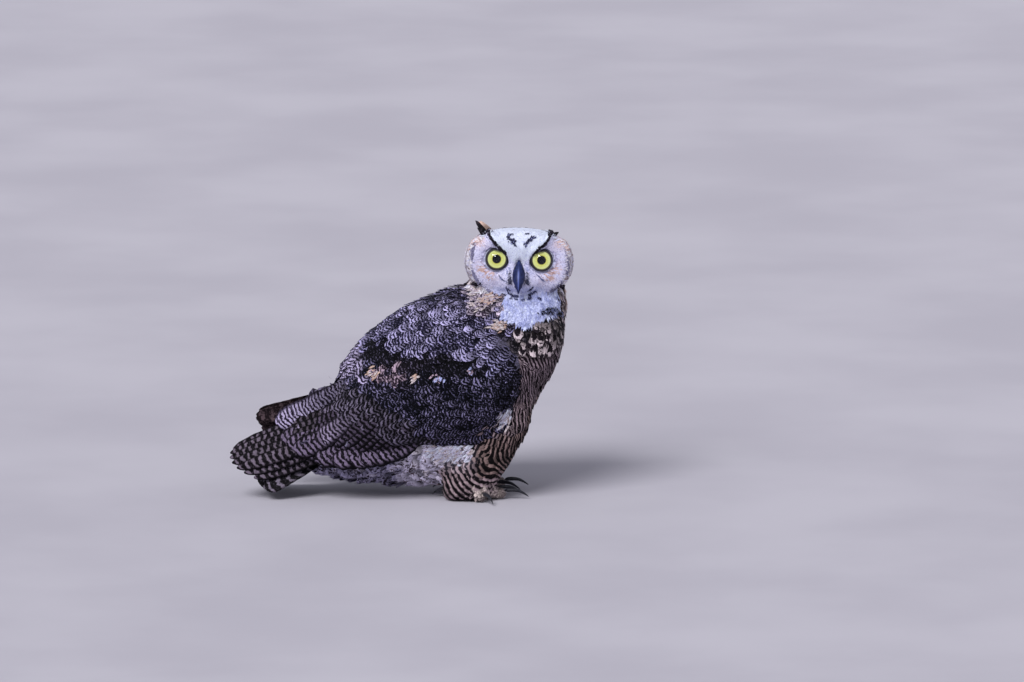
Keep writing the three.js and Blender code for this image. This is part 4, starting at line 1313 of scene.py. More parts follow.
frontPatch = (patchX > 46) & (patchX > 46 + 0.9 * (patchZ - 130))
wingEdge = np.interp(patchX, [-60, -14, 40, 84, 120, 150], [98, 74, 73, 82, 98, 130])
underWing = (patchZ > wingEdge - 4) & (patchX < 128) & (np.abs(patchY) > 34) & (patchZ < 175)
upperPatch = patchZ > np.minimum(96 + 0.72 * (patchX + 60), 136)
grow("coat_breast", "breast_plumage", coatDims["breast"], 15,
     (pick("trunk") & frontPatch & ~bibPatch & ~underWing, 4.6 + 2.2 * ramp(170, 196, patchZ), breastSize,
      besideBib, {"offWing": True}))
grow("coat_back", "back_plumage", coatDims["back"], 16,
     (pick("trunk") & ~frontPatch & upperPatch & ~bibPatch, 7.4 - 2.4 * ramp(40, 76, patchX), backSize,
      bodyZones, {"tint": 0.22, "soft": 0.15}))
grow("coat_belly", "breast_plumage", coatDims["belly"], 17,
     (pick("trunk") & ~frontPatch & ~upperPatch & ~bibPatch, 7.0, lambda p: plain(p, 25, 17), bodyZones))


def legSize(points):
    x, y, z = points.T
    low = ramp(34, 14, z) * ramp(66, 84, x)
    return 24 - 15 * low, 14 - 10 * low


looseDims = {
    # where along and how high, half the width and height, how many, how long, and the kinds mixed in it
    "tufts": [((54, 63), (17, 7), 360, 14, ("fluff", "fluff", "belly", "buffPale")),
              ((119, 107), (4, 8), 90, 14, ("fluff", "fluff", "belly", "buffPale")),
              ((102, 242), (6.5, 5), 110, 9, ("buff", "buff", "buffPale", "nape")),
              ((85, 251), (6, 5), 50, 9, ("buffPale", "nape", "rimLight")),
              ((88, 238), (6, 9), 70, 10, ("nape", "buffPale", "nape")),
              ((113, 213), (6, 4.5), 56, 9, ("buffPale", "buffPale", "buff")),
              ((171, 228), (8, 2.4), 120, 5, ("dark", "dark", "smudge")),
              ((183, 223), (3, 2.5), 30, 5, ("dark", "dark", "smudge")),
              ((-35, 159), (5.5, 4), 26, 8, ("buff", "buffPale", "rosy")),
              ((14, 158), (3, 2.5), 12, 7, ("buff", "buffPale")),
              ((41, 157), (5, 3), 16, 7, ("bibShade", "rosy")),
              ((80, 165), (3, 2.5), 10, 6, ("bibShade", "rosy"))],
    "width": 2.4, "above": 2.4, "fall": (-0.75, -0.66),
}


def looseTufts():
    # soft small feathers: the down by the leg and under the wing, and the buff and pale patches
    rng = np.random.default_rng(63)
    spots, ways, lengths, kinds = [], [], [], []
    fall = looseDims["fall"]
    for (atX, atZ), (wide, tall), count, length, mixed in looseDims["tufts"]:
        back = length * 0.57
        for _ in range(count):
            for side in (-1,) if "dark" in mixed else (-1, 1):
                x, z = atX + rng.normal(0, wide * 0.6), atZ + rng.normal(0, tall * 0.6)
                spots.append(onSide(x - fall[0] * back, z - fall[1] * back, side))
                ways.append((fall[0] + rng.normal(0, 0.25), 0.1 * side, fall[1] + rng.normal(0, 0.25)))
                lengths.append(length * (1 + rng.normal(0, 0.2)))
                kinds.append(mixed[rng.integers(len(mixed))])
    return placed(spots, ways, np.array(lengths), looseDims["width"], looseDims["above"], kinds)


def sideHit(x, z, side):
    return skinTree.ray_cast(Vector((x, side * 260, z)), Vector((0, -side, 0)), 250)


def onSide(x, z, side):
    spot = sideHit(x, z, side)[0]
    return (x, side * 60, z) if spot is None else tuple(spot)


grow("coat_legs", "breast_plumage", coatDims["breast"], 18,
     ((pick("leg") | pick("foot")) & (patchZ < wingEdge - 6), 4.2, legSize, bodyZones, {"offWing": True}))
grow("coat_down", "breast_plumage", coatDims["bib"], 24, looseTufts())
grow("coat_toes", "toe_plumage", coatDims["toe"], 19,
     (pick("toe"), 1.7, lambda p: plain(p, 5, 1.9), bodyZones))


def wingSize(points):
    x, y, z = points.T
    large = ramp(110, 20, x)
    high = ramp(150, 176, z + 0.1 * (x - 20))
    farEnd = 1 - 0.6 * ramp(-40, -70, x) * (y > 0) - 0.35 * ramp(-62, -84, x) * (y < 0)
    return (17 + 11 * large + 10 * high) * farEnd, (9.5 + 5 * large + 5 * high) * farEnd


# Coverts set out in rows, and the pale-tipped feathers above them
rowDims = {
    # the tips of the lowest row, by x and z
    "line": [(-92, 116), (-60, 98), (-14, 74), (40, 73), (84, 82), (120, 98)],
    # for each row how far up from there, how long, how wide, how many and how high over the skin
    "rows": [(0, 40, 17, 24, 3.4), (13, 36, 15, 26, 2.6), (25, 30, 13, 28, 1.6)],
    "fall": (-0.93, -0.36), "outside": 34,
}


def covertRows(side):
    line = np.array(rowDims["line"], float)
    spots, ways, lengths, widths, above, kinds = [], [], [], [], [], []
    fall = unit(np.array([rowDims["fall"][0], 0, rowDims["fall"][1]]))
    for up, length, width, count, high in rowDims["rows"]:
        for k in range(count):
            t = (k + 0.5 * (up > 0)) / count * (len(line) - 1)
            x, z = (np.interp(t, np.arange(len(line)), line[:, i]) for i in range(2))
            steep = ramp(-40, 60, x)
            way = unit(fall * (1 - steep) + np.array([-0.99, 0, -0.14]) * steep)
            reach = length * (1 - 0.35 * ramp(40, 110, x))
            spot = onSide(x - way[0] * reach, z + up - way[2] * reach, side)
            if abs(spot[1]) < rowDims["outside"]:
                continue
            spots.append(spot)
            ways.append(way)
            lengths.append(reach)
            widths.append(width * (1 - 0.3 * ramp(40, 110, x)))
            above.append(high * (1 - 0.5 * ramp(0, 80, x)) + 0.25 * (k % 2))
            kinds.append("greater" if x < 0 or up == 0 and x < 30 else "lesser")
    return placed(spots, ways, np.array(lengths), np.array(widths), np.array(above), kinds)


for side, word, seed in ((-1, "right", 21), (1, "left", 22)):
    lineAt = np.interp(patchX, [p[0] for p in rowDims["line"]], [p[1] for p in rowDims["line"]])
    clear = (patchZ > lineAt - 4) & (patchX > -100)
    clear &= (np.abs(patchY) > 34) | (patchX > -64)
    here = pick("wing") & (patchY * side > 0) & clear
    spacing = 4.2 + 2.0 * ramp(110, 20, patchX) + 2.4 * ramp(150, 176, patchZ + 0.1 * (patchX - 20))
    grow(f"coat_wing_{word}", "back_plumage", coatDims["wing"], seed, (here, spacing, wingSize, bodyZones),
         covertRows(side))


# Flight feathers: long closed vanes with a raised shaft, laid like shingles over the side of the wing

barRows = (0.7, 0, 0.84)         # the way across the rows that the bars make from feather to feather
bladeDims = {
    "rows": 30, "columns": 12, "thick": 0.5, "shaft": 0.45, "shaftWide": 0.07, "notch": 0.035,
    "root": 0.3, "tipLeast": 0.05, "closer": 1.35,      # how much closer the rows lie toward the tip
}


def blade(path, out, width, lean, cup, wide, rng):
    d = bladeDims
    share = np.linspace(0, 1, d["rows"])
    share = 1 - (1 - share) ** d["closer"]
    knots = np.linspace(0, 1, len(path))
    centre = np.stack([np.interp(share, knots, path[:, k]) for k in range(3)], 1)
    for _ in range(3):
        centre[1:-1] = centre[1:-1] * 0.5 + (centre[2:] + centre[:-2]) * 0.25
    tangent = unit(np.gradient(centre, axis=0))
    normal = np.stack([np.interp(share, knots, out[:, k]) for k in range(3)], 1)
    across = unit(np.cross(normal, tangent))
    normal = np.cross(tangent, across)
    v = np.linspace(-1, 1, d["columns"] + 1)
    half = np.maximum(outline(share, wide, d["root"]), d["tipLeast"])
    edge = 1 + (rng.normal(0, d["notch"], (d["rows"], d["columns"] + 1)) - 0.02) * (np.abs(v) > 0.9)
    sizes = np.where(v < 0, width * lean, width * (1 - lean))
    x = half[:, None] * (v * sizes)[None] * edge
    shaft = d["shaft"] * bell(v, d["shaftWide"] * 2)[None] * (1 - 0.8 * share[:, None])
    height = shaft - cup * (v ** 2)[None] * np.abs(x)
    top = centre[:, None] + across[:, None] * x[..., None] + normal[:, None] * height[..., None]
    bottom = top - normal[:, None] * d["thick"]
    along, sideways = np.repeat(share, d["columns"] + 1), np.tile(v, d["rows"])
    return top.reshape(-1, 3), bottom.reshape(-1, 3), x.ravel(), along, sideways


def bladeFaces():
    d = bladeDims
    grid = np.arange(d["rows"] * (d["columns"] + 1)).reshape(d["rows"], -1)
    top = np.stack([grid[:-1, :-1], grid[:-1, 1:], grid[1:, 1:], grid[1:, :-1]], -1).reshape(-1, 4)
    bottom = top[:, ::-1] + grid.size
    rim = np.concatenate([grid[0, :-1], grid[:-1, -1], grid[-1, :0:-1], grid[:0:-1, 0]])
    following = np.roll(rim, -1)
    edge = np.stack([following, rim, rim + grid.size, following + grid.size], -1)
    return np.concatenate([top, bottom, edge]), grid.size * 2


def flightPiece(name, feathers, rng):
    faces, each = bladeFaces()
    points, quads, uv = [], [], []
    columns = {key: [] for key in ("vane", "spread", *markKeys)}
    for index, feather in enumerate(feathers):
        shape = [feather[key] for key in ("path", "out", "width", "lean", "cup", "wide")]
        top, bottom, x, share, v = blade(*shape, rng)
        length = np.linalg.norm(np.diff(feather["path"], axis=0), axis=1).sum()
        points += [top, bottom]
        quads.append(faces + index * each)
        period = markTable([feather["kind"]], "bars")[0, 0]
        chance = feather["path"][-1] @ np.array(barRows) / period + rng.random() * 0.25
        vane = np.stack([x, (1 - share) * length, np.full(len(x), rng.random())], 1)
        spread = np.stack([v, share, np.full(len(x), chance)], 1)
        strip = np.stack([(index + 0.5 + v * 0.42) / len(feathers), share * 0.96 + 0.02], 1)
        columns["vane"] += [vane, vane]
        columns["spread"] += [spread, spread]
        uv += [strip, strip]
        for key in markKeys:
            value = markTable([feather["kind"]], key) * (feather["bright"] if key == "ground" else 1)
            columns[key].append(np.repeat(value, len(x) * 2, 0))
    attributes = {key: np.concatenate(values) for key, values in columns.items()}
    points = np.concatenate(points)
    points[:, 2] = np.maximum(points[:, 2], 0.4)
    piece = makeMesh(name, points, np.concatenate(quads), attributes=attributes, uv=np.concatenate(uv))
    tell(f"{name}: {len(feathers)} feathers, {sum(map(len, quads)) * 2} triangles")
    return piece


def through(first, middle, last, t):
    first, middle, last = map(np.array, (first, middle, last))
    return first * (1 - t) * (1 - 2 * t) + middle * 4 * t * (1 - t) + last * t * (2 * t - 1)


wingDims = {
    "secondaries": {"count": 13, "firstTip": (-148, 30, 74), "midTip": (-96, 62, 51),
                    "lastTip": (-30, 78, 62), "firstRoot": (-40, 60, 140), "lastRoot": (62, 84, 112),
                    "width": 27, "bow": 5},
    "primaries": {"count": 7, "firstTip": (-205, 32, 61), "midTip": (-206, 38, 46),
                  "lastTip": (-180, 48, 28), "firstRoot": (-24, 60, 146), "lastRoot": (0, 76, 104),
                  "width": 19, "bow": 4},
    # from the lowest to the topmost
    "tertials": [((-34, 62, 142), (-108, 46, 76), 27), ((-42, 58, 152), (-128, 38, 84), 30),
                 ((-52, 54, 160), (-154, 28, 92), 36)],
    "layer": 0.36, "primaryLayer": 0.2, "topLayer": 1.6, "lift": 1.0, "tertialBow": 4,
    "leftAlong": 30, "leftUp": 35, "leftDrop": 18,
}


def wingPlace(point, side):
    p = np.array(point, float)
    if side > 0:
        along = min(max((-60 - p[0]) / 145, 0), 1) ** 2.2
        p = p + np.array([wingDims["leftAlong"] * along, 0, wingDims["leftUp"] * along])
    return p * np.array([1, side, 1])


def layPath(root, tip, side, lift, bow, steps=14):
    t = np.linspace(0, 1, steps)[:, None]
    path = root + (tip - root) * t
    way = unit(tip - root)
    dip = unit(np.cross(way, np.array([0, side, 0.0]))) * -side
    dip = dip * np.sign(-dip[2] if dip[2] else 1)
    path = path + dip * bow * (t * (1 - t) * 4)
    y = np.full(steps, np.nan)
    normals = np.full((steps, 3), np.nan)
    for i, p in enumerate(path):
        spot, normal = sideHit(p[0], p[2], side)[:2]
        if spot is not None and side * spot[1] > side * tip[1] - 14:
            y[i], normals[i] = side * spot[1], normal
    known = np.where(~np.isnan(y))[0]
    if len(known):
        last = known[-1]
        marks = list(known) + ([steps - 1] if last < steps - 1 else [])
        values = list(y[known]) + ([min(side * tip[1], y[last])] if last < steps - 1 else [])
        y = np.interp(np.arange(steps), marks, values)
    else:
        y = np.linspace(side * root[1], side * tip[1], steps)
    slope = np.polyfit(t[:, 0], y, 3)
    smooth = np.polyval(slope, t[:, 0])
    y = smooth + max(0, (y - smooth).max() * 0.6)
    sunk = ramp(0, 0.42, t[:, 0])
    path[:, 1] = side * (y + lift * sunk - 3.5 * (1 - sunk))
    out = np.tile(np.array([0, side, 0.25]), (steps, 1))
    for i in range(steps):
        if not np.isnan(normals[i, 0]):
            out[i] = unit(out[i]) * 0.5 + normals[i] * 0.5
    return path, unit(out)


def wingFlight(side):
    d = wingDims
    rng = np.random.default_rng(41 if side < 0 else 42)
    stack = []
    for group, kind in (("primaries", "farWing" if side > 0 else "primary"), ("secondaries", "secondary")):
        g = d[group]
        for k in reversed(range(g["count"])):
            t = k / (g["count"] - 1)
            tip = through(g["firstTip"], g["midTip"], g["lastTip"], t)
            root = mix(np.array(g["firstRoot"], float), np.array(g["lastRoot"], float), t)
            stack.append((root, tip, g["width"], kind, g["bow"]))
    for root, tip, width in d["tertials"]:
        drop = np.array([0, 0, d["leftDrop"] if side > 0 else 0])
        top = root == d["tertials"][-1][0]
        kind = "tertial" if top else "innerWing"
        stack.append((np.array(root, float) - drop, np.array(tip, float) - drop, width, kind,
                      d["tertialBow"]))
    feathers = []
    for index, (root, tip, width, kind, bow) in enumerate(stack):
        first = d["primaries"]["count"]
        layer = min(index, first) * d["primaryLayer"] + max(index - first, 0) * d["layer"]
        layer += d["topLayer"] * (kind == "tertial")
        root, tip = wingPlace(root, side), wingPlace(tip, side)
        path, out = layPath(root, tip, side, d["lift"] + layer, bow)
        feathers.append({"path": path, "out": out, "width": width * (1 + rng.normal(0, 0.03)),
                         "lean": (0.36 if side < 0 else 0.64),
                         "cup": 0.16, "wide": {"tertial": 0.82, "primary": 0.76}.get(kind, 0.88),
                         "kind": kind, "bright": 1 + rng.normal(0, 0.06)})
    word = "right" if side < 0 else "left"
    piece = flightPiece(f"wing_feathers_{word}", feathers, rng)
    finishPiece(piece, "flight_feathers", stiffPlumage, f"secondaries_{word}", f"primaries_{word}")


wingFlight(-1)
wingFlight(1)


tailDims = {"count": 12, "root": (-58, 0, 77), "length": 132, "droop": 26, "spread": 13, "rootHalf": 17,
            "width": 27, "arch": 7, "layer": 0.6}


def tailPiece():
    d = tailDims
    rng = np.random.default_rng(43)
    feathers = []
    order = sorted(range(d["count"]), key=lambda k: -abs(k - (d["count"] - 1) / 2))
    for rank, k in enumerate(order):
        share = (k / (d["count"] - 1)) * 2 - 1
        yaw = math.radians(d["spread"] * share)
        droop = math.radians(d["droop"])
        way = np.array([-math.cos(droop) * math.cos(yaw), math.sin(yaw), -math.sin(droop) * math.cos(yaw)])
        root = np.array(d["root"], float) + np.array([0, d["rootHalf"] * share, -d["arch"] * share ** 2])
        length = d["length"] * (1 - 0.07 * share ** 2)
        t = np.linspace(0, 1, 10)[:, None]
        path = root + way * length * t
        path[:, 2] += rank * d["layer"] * 0.5 - 4 + 3 * (t * (1 - t))[:, 0]
        out = np.tile(unit(np.array([math.sin(droop), share * 0.55, math.cos(droop)])), (10, 1))
        feathers.append({"path": path, "out": out, "width": d["width"], "lean": 0.5 - 0.14 * share,
                         "cup": 0.14, "wide": 0.9, "kind": "tail", "bright": 1 + rng.normal(0, 0.05)})
    piece = flightPiece("tail_feathers", feathers, rng)
    finishPiece(piece, "flight_feathers", stiffPlumage, "tail")


tailPiece()


# The ear tufts: a narrow bunch of long feathers along each CAD tuft

tuftDims = {
    "right": ((-35, 25, 29), (-45, 10, 41), (-53, -8, 47), 19),
    "left": ((34, 25, 27), (41, 10, 34), (46, -8, 35), 11),
    "count": 19,
}


def earTuft(word):
    rng = np.random.default_rng(51 if word == "right" else 52)
    root, bend, tip, width = tuftDims[word]
    sign = -1 if word == "right" else 1
    feathers = []
    count = tuftDims["count"]
    for k in range(count):
        share = k / (count - 1) * 2 - 1
        t = np.linspace(0, 1, 9)[:, None]
        curve = np.array(root) * (1 - t) ** 2 + np.array(bend) * 2 * t * (1 - t) + np.array(tip) * t ** 2
        reach = 1 - 0.3 * abs(share) ** 1.3 - 0.06 * rng.random()
        side = np.array([sign * -0.62, -0.1, 0.78]) * share * (width * 0.34 - 2.2 * t)
        lift = np.array([0, 0.6, 0.6]) * (0.6 * (k % 3) - 0.6)
        path = curve[0] + (curve - curve[0]) * reach + side + lift + rng.normal(0, 0.5, 3) * t
        path = fromHead(path)
        out = np.tile(unit(np.array([0.35 * sign, 0.7, 0.6])) @ headAxes, (9, 1))
        feathers.append({"path": path, "out": out, "width": 5.0 - 1.0 * abs(share), "lean": 0.5,
                         "cup": 0.3, "wide": 0.3, "kind": "tuftEdge" if share > 0.3 else "tuft",
                         "bright": 1 + rng.normal(0, 0.1)})
    piece = flightPiece(f"ear_feathers_{word}", feathers, rng)
    finishPiece(piece, "ear_tufts", softPlumage, f"ear_tuft_{word}")


earTuft("right")
earTuft("left")


# The eyes: a dark globe with a sunk iris and pupil, under a clear front, in a ring of dark lid

def lathe(name, profile, steps, centre, axes):
    profile = np.array(profile, float)
    angle = np.linspace(0, 2 * math.pi, steps, endpoint=False)
    ring = np.stack([np.cos(angle), np.sin(angle)], 1)
    local = np.concatenate([profile[:, None, :1] * ring[None], np.repeat(profile[:, None, 1:], steps, 1)], 2)
    local = local.reshape(-1, 3)
    return makeMesh(name, centre + local @ axes, tubeFaces(len(profile), steps), attributes={"local": local})


def irisMaterial():
    material, tree, shader = newMaterial("eye_iris")
    d = eyeParts
    local = attribute(tree, "local").outputs["Vector"]
    x, y, _ = parted(tree, local)
    radius = maths(tree, "SQRT", plus(tree, times(tree, x, x), times(tree, y, y)))
    ray = joined(tree, times(tree, maths(tree, "DIVIDE", x, radius), 7.0),
                 times(tree, maths(tree, "DIVIDE", y, radius), 7.0), times(tree, radius, 0.22))
    fibre = noiseOf(tree, ray, 2.2, 4.0, Roughness=0.6)
    yellow = blendColour(tree, between(tree, fibre, 0.3, 0.7), (0.42, 0.42, 0.05, 1), (0.64, 0.66, 0.22, 1))
    outward = between(tree, radius, d["pupil"], d["iris"])
    yellow = blendColour(tree, outward, yellow, (0.60, 0.65, 0.27, 1))
    rim = between(tree, radius, d["iris"] - 1.1, d["iris"] - 0.2)
    yellow = blendColour(tree, rim, yellow, (0.10, 0.08, 0.02, 1))
    inner = between(tree, radius, d["pupil"] + 0.9, d["pupil"] + 0.1)
    yellow = blendColour(tree, inner, yellow, (0.16, 0.13, 0.02, 1))
    pupil = between(tree, radius, d["pupil"] + 0.12, d["pupil"] - 0.05)
    colour = blendColour(tree, pupil, yellow, (0.004, 0.004, 0.008, 1))
    outside = between(tree, radius, d["iris"] - 0.05, d["iris"] + 0.1)
    colour = blendColour(tree, outside, colour, (0.012, 0.010, 0.012, 1))
    fill(tree, shader.inputs["Base Color"], colour)
    relief = times(tree, fibre, minus(tree, 1.0, pupil))
    bumped(tree, shader, relief, 0.4, 0.00015)
    fill(tree, shader.inputs["Roughness"], between(tree, fibre, 0.2, 0.8, 0.5, 0.65))
    fill(tree, shader.inputs["Specular IOR Level"], 0.04)
    return material


def clearMaterial():
    material, tree, shader = newMaterial("eye_clear")
    film = node(tree, "ShaderNodeTexNoise", Scale=300.0, Detail=2.0).outputs[0]
    fill(tree, shader.inputs["Base Color"], (0.9, 0.92, 1.0, 1))
    fill(tree, shader.inputs["Metallic"], 1)
    fill(tree, shader.inputs["Roughness"], between(tree, film, 0.2, 0.8, 0.03, 0.06))
    edge = node(tree, "ShaderNodeFresnel", IOR=1.38).outputs[0]
    fill(tree, shader.inputs["Alpha"], maths(tree, "MINIMUM", edge, 0.07))
    return material


def lidMaterial():
    material, tree, shader = newMaterial("dark_lid")
    place = objectPlace(tree)
    fine = noiseOf(tree, place, 900.0, 4.0, Roughness=0.65)
    colour = blendColour(tree, between(tree, fine, 0.35, 0.7), (0.008, 0.007, 0.010, 1),
                         (0.030, 0.026, 0.032, 1))
    outward = parted(tree, attribute(tree, "local").outputs["Vector"])[0]
    down = blendColour(tree, between(tree, fine, 0.35, 0.7), (0.40, 0.41, 0.56, 1), (0.62, 0.63, 0.80, 1))
    colour = blendColour(tree, between(tree, outward, 1.0, 1.12), colour, down)
    fill(tree, shader.inputs["Base Color"], colour)
    bumped(tree, shader, fine, 0.7, 0.0003)
    fill(tree, shader.inputs["Roughness"], between(tree, fine, 0.2, 0.8, 0.4, 0.6))
    return material


eyeMaterial, clearFront, lidSkin = irisMaterial(), clearMaterial(), lidMaterial()


def makeEye(word):
    d = eyeParts
    centre, axes, _ = eyeFrame(word)
    edge = math.asin(d["iris"] / d["globe"])
    back = [(d["globe"] * math.sin(a), d["globe"] * math.cos(a))
            for a in np.linspace(math.pi - 0.02, edge, 26)]
    lip = d["globe"] * math.cos(edge)
    rings = [d["iris"] - 0.1, d["iris"] - 0.2, *np.linspace(d["iris"] - 0.6, d["pupil"] + 0.2, 9),
             d["pupil"] + 0.1]
    iris = [(r, lip - 0.35 + d["irisSunk"] * (1 - r / d["iris"])) for r in rings]
    well = iris[-1][1]
    pupil = [(d["pupil"] - 0.1, well - 0.3), (d["pupil"] - 0.3, well - d["pupilSunk"]),
             (0.05, well - d["pupilSunk"])]
    globe = lathe(f"eyeball_{word}", back + iris + pupil, d["steps"], centre, axes)
    finishPiece(globe, "eyes", eyeMaterial, f"eye_{word}")
    half = math.radians(d["clearHalf"])
    dome = [(d["clear"] * math.sin(a), d["clear"] * math.cos(a) + 0.25)
            for a in np.linspace(half, 0.004, 22)]
    front = lathe(f"eye_front_{word}", dome, d["steps"], centre, axes)
    finishPiece(front, "eyes", clearFront)
    steps = d["lidSteps"]
    angle = np.linspace(0, 2 * math.pi, steps, endpoint=False)
    ring = np.stack([np.cos(angle), np.sin(angle)], 1)
    inner, outer = lidEdges(angle)
    rows, shares = [], []
    for share, rise in d["lidRows"]:
        r = inner + min(share, 1) * (outer - inner) + max(share - 1, 0) * d["cover"]
        rows.append(np.concatenate([ring * r[:, None], (lidHeight(r) + rise * d["lidRise"])[:, None]], 1))
        shares += [share] * steps
    local = np.stack(rows)
    lid = makeMesh(f"eyelid_{word}", centre + local.reshape(-1, 3) @ axes,
                   tubeFaces(len(local), steps, True),
                   attributes={"local": np.stack([shares, shares, shares], 1)})
    finishPiece(lid, "bare_skin", lidSkin)


makeEye("right")
makeEye("left")
tell("eyes")


# The bill: an arched upper half with a ridge, nostrils and cutting edges, over a short lower half

billDims = {
    # ahead, up of the ridge, half width, depth below the ridge
    "upper": [(40, 5, 1.6, 8), (44, 2.5, 3.4, 11), (48.2, -0.5, 5.6, 15), (52, -5, 7.2, 18),
              (55.7, -10.5, 7.7, 18), (58.5, -16.5, 7.3, 15.5), (60, -22.5, 6.0, 11.5),
              (59.8, -28, 3.9, 7), (58, -32.5, 2.0, 3.6), (55.8, -36, 0.7, 1.4)],
    "lower": [(37, -20, 5.0, 5), (43, -23, 5.2, 5.5), (48.5, -27, 4.2, 5), (52.5, -31, 1.8, 2.6)],
    "nostril": (4.6, -6.5), "nostrilSize": (0.9, 1.0, 1.7), "nostrilSunk": 0.75, "nostrilSteps": (12, 20),
    "steps": (44, 40),       # rows from root to tip, and points round each
}


def hornMaterial(name, dark, pale, ridge):
    material, tree, shader = newMaterial(name)
    place = attribute(tree, "local").outputs["Vector"]
    shareAcross, shareAlong, _ = parted(tree, place)
    spot = objectPlace(tree)
    cloud = noiseOf(tree, spot, 260.0, 4.0, Roughness=0.6)
    colour = blendColour(tree, between(tree, cloud, 0.3, 0.7), dark, pale)
    # painted highlight: a pale stripe of the ridge colour down the middle of the horn, over the middle of
    # its length
    ridgeHighlight = between(tree, maths(tree, "ABSOLUTE", plus(tree, shareAcross, times(tree, cloud, 0.1))),
                      0.34, 0.05)
    along = times(tree, between(tree, shareAlong, 0.28, 0.5), between(tree, shareAlong, 0.98, 0.8))
    colour = blendColour(tree, times(tree, times(tree, ridgeHighlight, along), 0.8), colour, ridge)
    fill(tree, shader.inputs["Base Color"], colour)
    streaks = joined(tree, times(tree, shareAcross, 14.0), times(tree, shareAlong, 3.0), 0.0)
    grain = noiseOf(tree, streaks, 3.0, 4.0)
    bumped(tree, shader, plus(tree, grain, times(tree, cloud, 0.5)), 0.3, 0.0003)
    fill(tree, shader.inputs["Roughness"], between(tree, grain, 0.2, 0.8, 0.28, 0.45))
    fill(tree, shader.inputs["Specular IOR Level"], 0.22)
    return material


# the third colour is the painted highlight along the ridge
billHorn = hornMaterial("bill_horn", (0.006, 0.009, 0.040, 1), (0.018, 0.026, 0.105, 1),
                        (0.10, 0.13, 0.38, 1))
clawHorn = hornMaterial("claw_horn", (0.008, 0.008, 0.012, 1), (0.03, 0.03, 0.04, 1), (0.06, 0.06, 0.08, 1))


def billHalf(name, stations, node):
    rows, around = billDims["steps"]
    stations = np.array(stations, float)
    knots = np.linspace(0, 1, len(stations))
    t = np.linspace(0, 1, rows)
    fitted = softCurve(stations, knots, t)
    angle = np.linspace(0, 2 * math.pi, around, endpoint=False)
    across = np.sin(angle)
    down = (1 - np.cos(angle)) / 2
    ridge = np.abs(across) ** 1.25 * np.sign(across)
    points, local = [], []
    tangent = np.gradient(fitted[:, :2], axis=0)
    tangent /= np.linalg.norm(tangent, axis=1, keepdims=True)
    for (ahead, up, half, deep), (ta, tu), share in zip(fitted, tangent, t):
        x = ridge * half * np.where(down > 0.62, mix(1, 0.82, (down - 0.62) / 0.38), 1)
        off = down * deep
        points.append(np.stack([x, ahead + tu * off, up - ta * off], 1))
        local.append(np.stack([across * np.where(down < 0.5, 1, 3), np.full(around, share),
                               np.zeros(around)], 1))
    tip = points[-1].mean(0) + np.array([0, tangent[-1][0], tangent[-1][1]]) * 0.8
    points = np.concatenate(points + [tip[None]])
    local = np.concatenate(local + [np.array([[0, 1, 0]])])
    edge = (rows - 1) * around + np.arange(around)
    tris = np.stack([edge, np.roll(edge, -1), np.full(around, rows * around)], -1)
    piece = makeMesh(name, fromHead(points), tubeFaces(rows, around), tris, {"local": local})
    finishPiece(piece, "horn", billHorn, node)


def softCurve(values, knots, t):
    fine = np.linspace(0, 1, 400)
    out = []
    for k in range(values.shape[1]):
        line = np.interp(fine, knots, values[:, k])
        reach = 26
        padded = np.concatenate([2 * line[0] - line[reach:0:-1], line,
                                 2 * line[-1] - line[-2:-reach - 2:-1]])
        weights = np.hanning(2 * reach + 1)
        out.append(np.interp(t, fine, np.convolve(padded, weights / weights.sum(), "valid")))
    return np.stack(out, 1)


billHalf("bill_top", billDims["upper"], "bill_upper")
billHalf("bill_under", billDims["lower"], "bill_lower")


def nostrils():
    d = billDims
    across, up = d["nostril"]
    bill = BVHTree.FromPolygons(*[part.tolist() for part in readMesh(bpy.data.objects["bill_top"].data)])
    rows, around = d["nostrilSteps"]
    rings = np.linspace(0.05, math.pi - 0.05, rows)
    turn = np.linspace(0, 2 * math.pi, around, endpoint=False)
    ball = np.stack([np.outer(np.sin(rings), np.cos(turn)), np.outer(np.sin(rings), np.sin(turn)),
                     np.repeat(np.cos(rings)[:, None], around, 1)], -1).reshape(-1, 3)
    points = []
    for sign in (-1, 1):
        local = ball * np.array(d["nostrilSize"])
        start = fromHead(np.array([[sign * across, 90, up]]))[0]
        hit = bill.ray_cast(Vector(start), Vector(-headAxes[1]), 90)[0]
        points.append(np.array(hit) - headAxes[1] * d["nostrilSunk"] + local @ headAxes)
    quads = tubeFaces(rows, around, True)
    quads = np.concatenate([quads, quads + len(ball)])
    piece = makeMesh("nostrils", np.concatenate(points), quads,
                     attributes={"local": np.zeros((2 * len(ball), 3))})
    finishPiece(piece, "horn", clawHorn)


nostrils()


# Thin tapered quills: the bristles round the bill

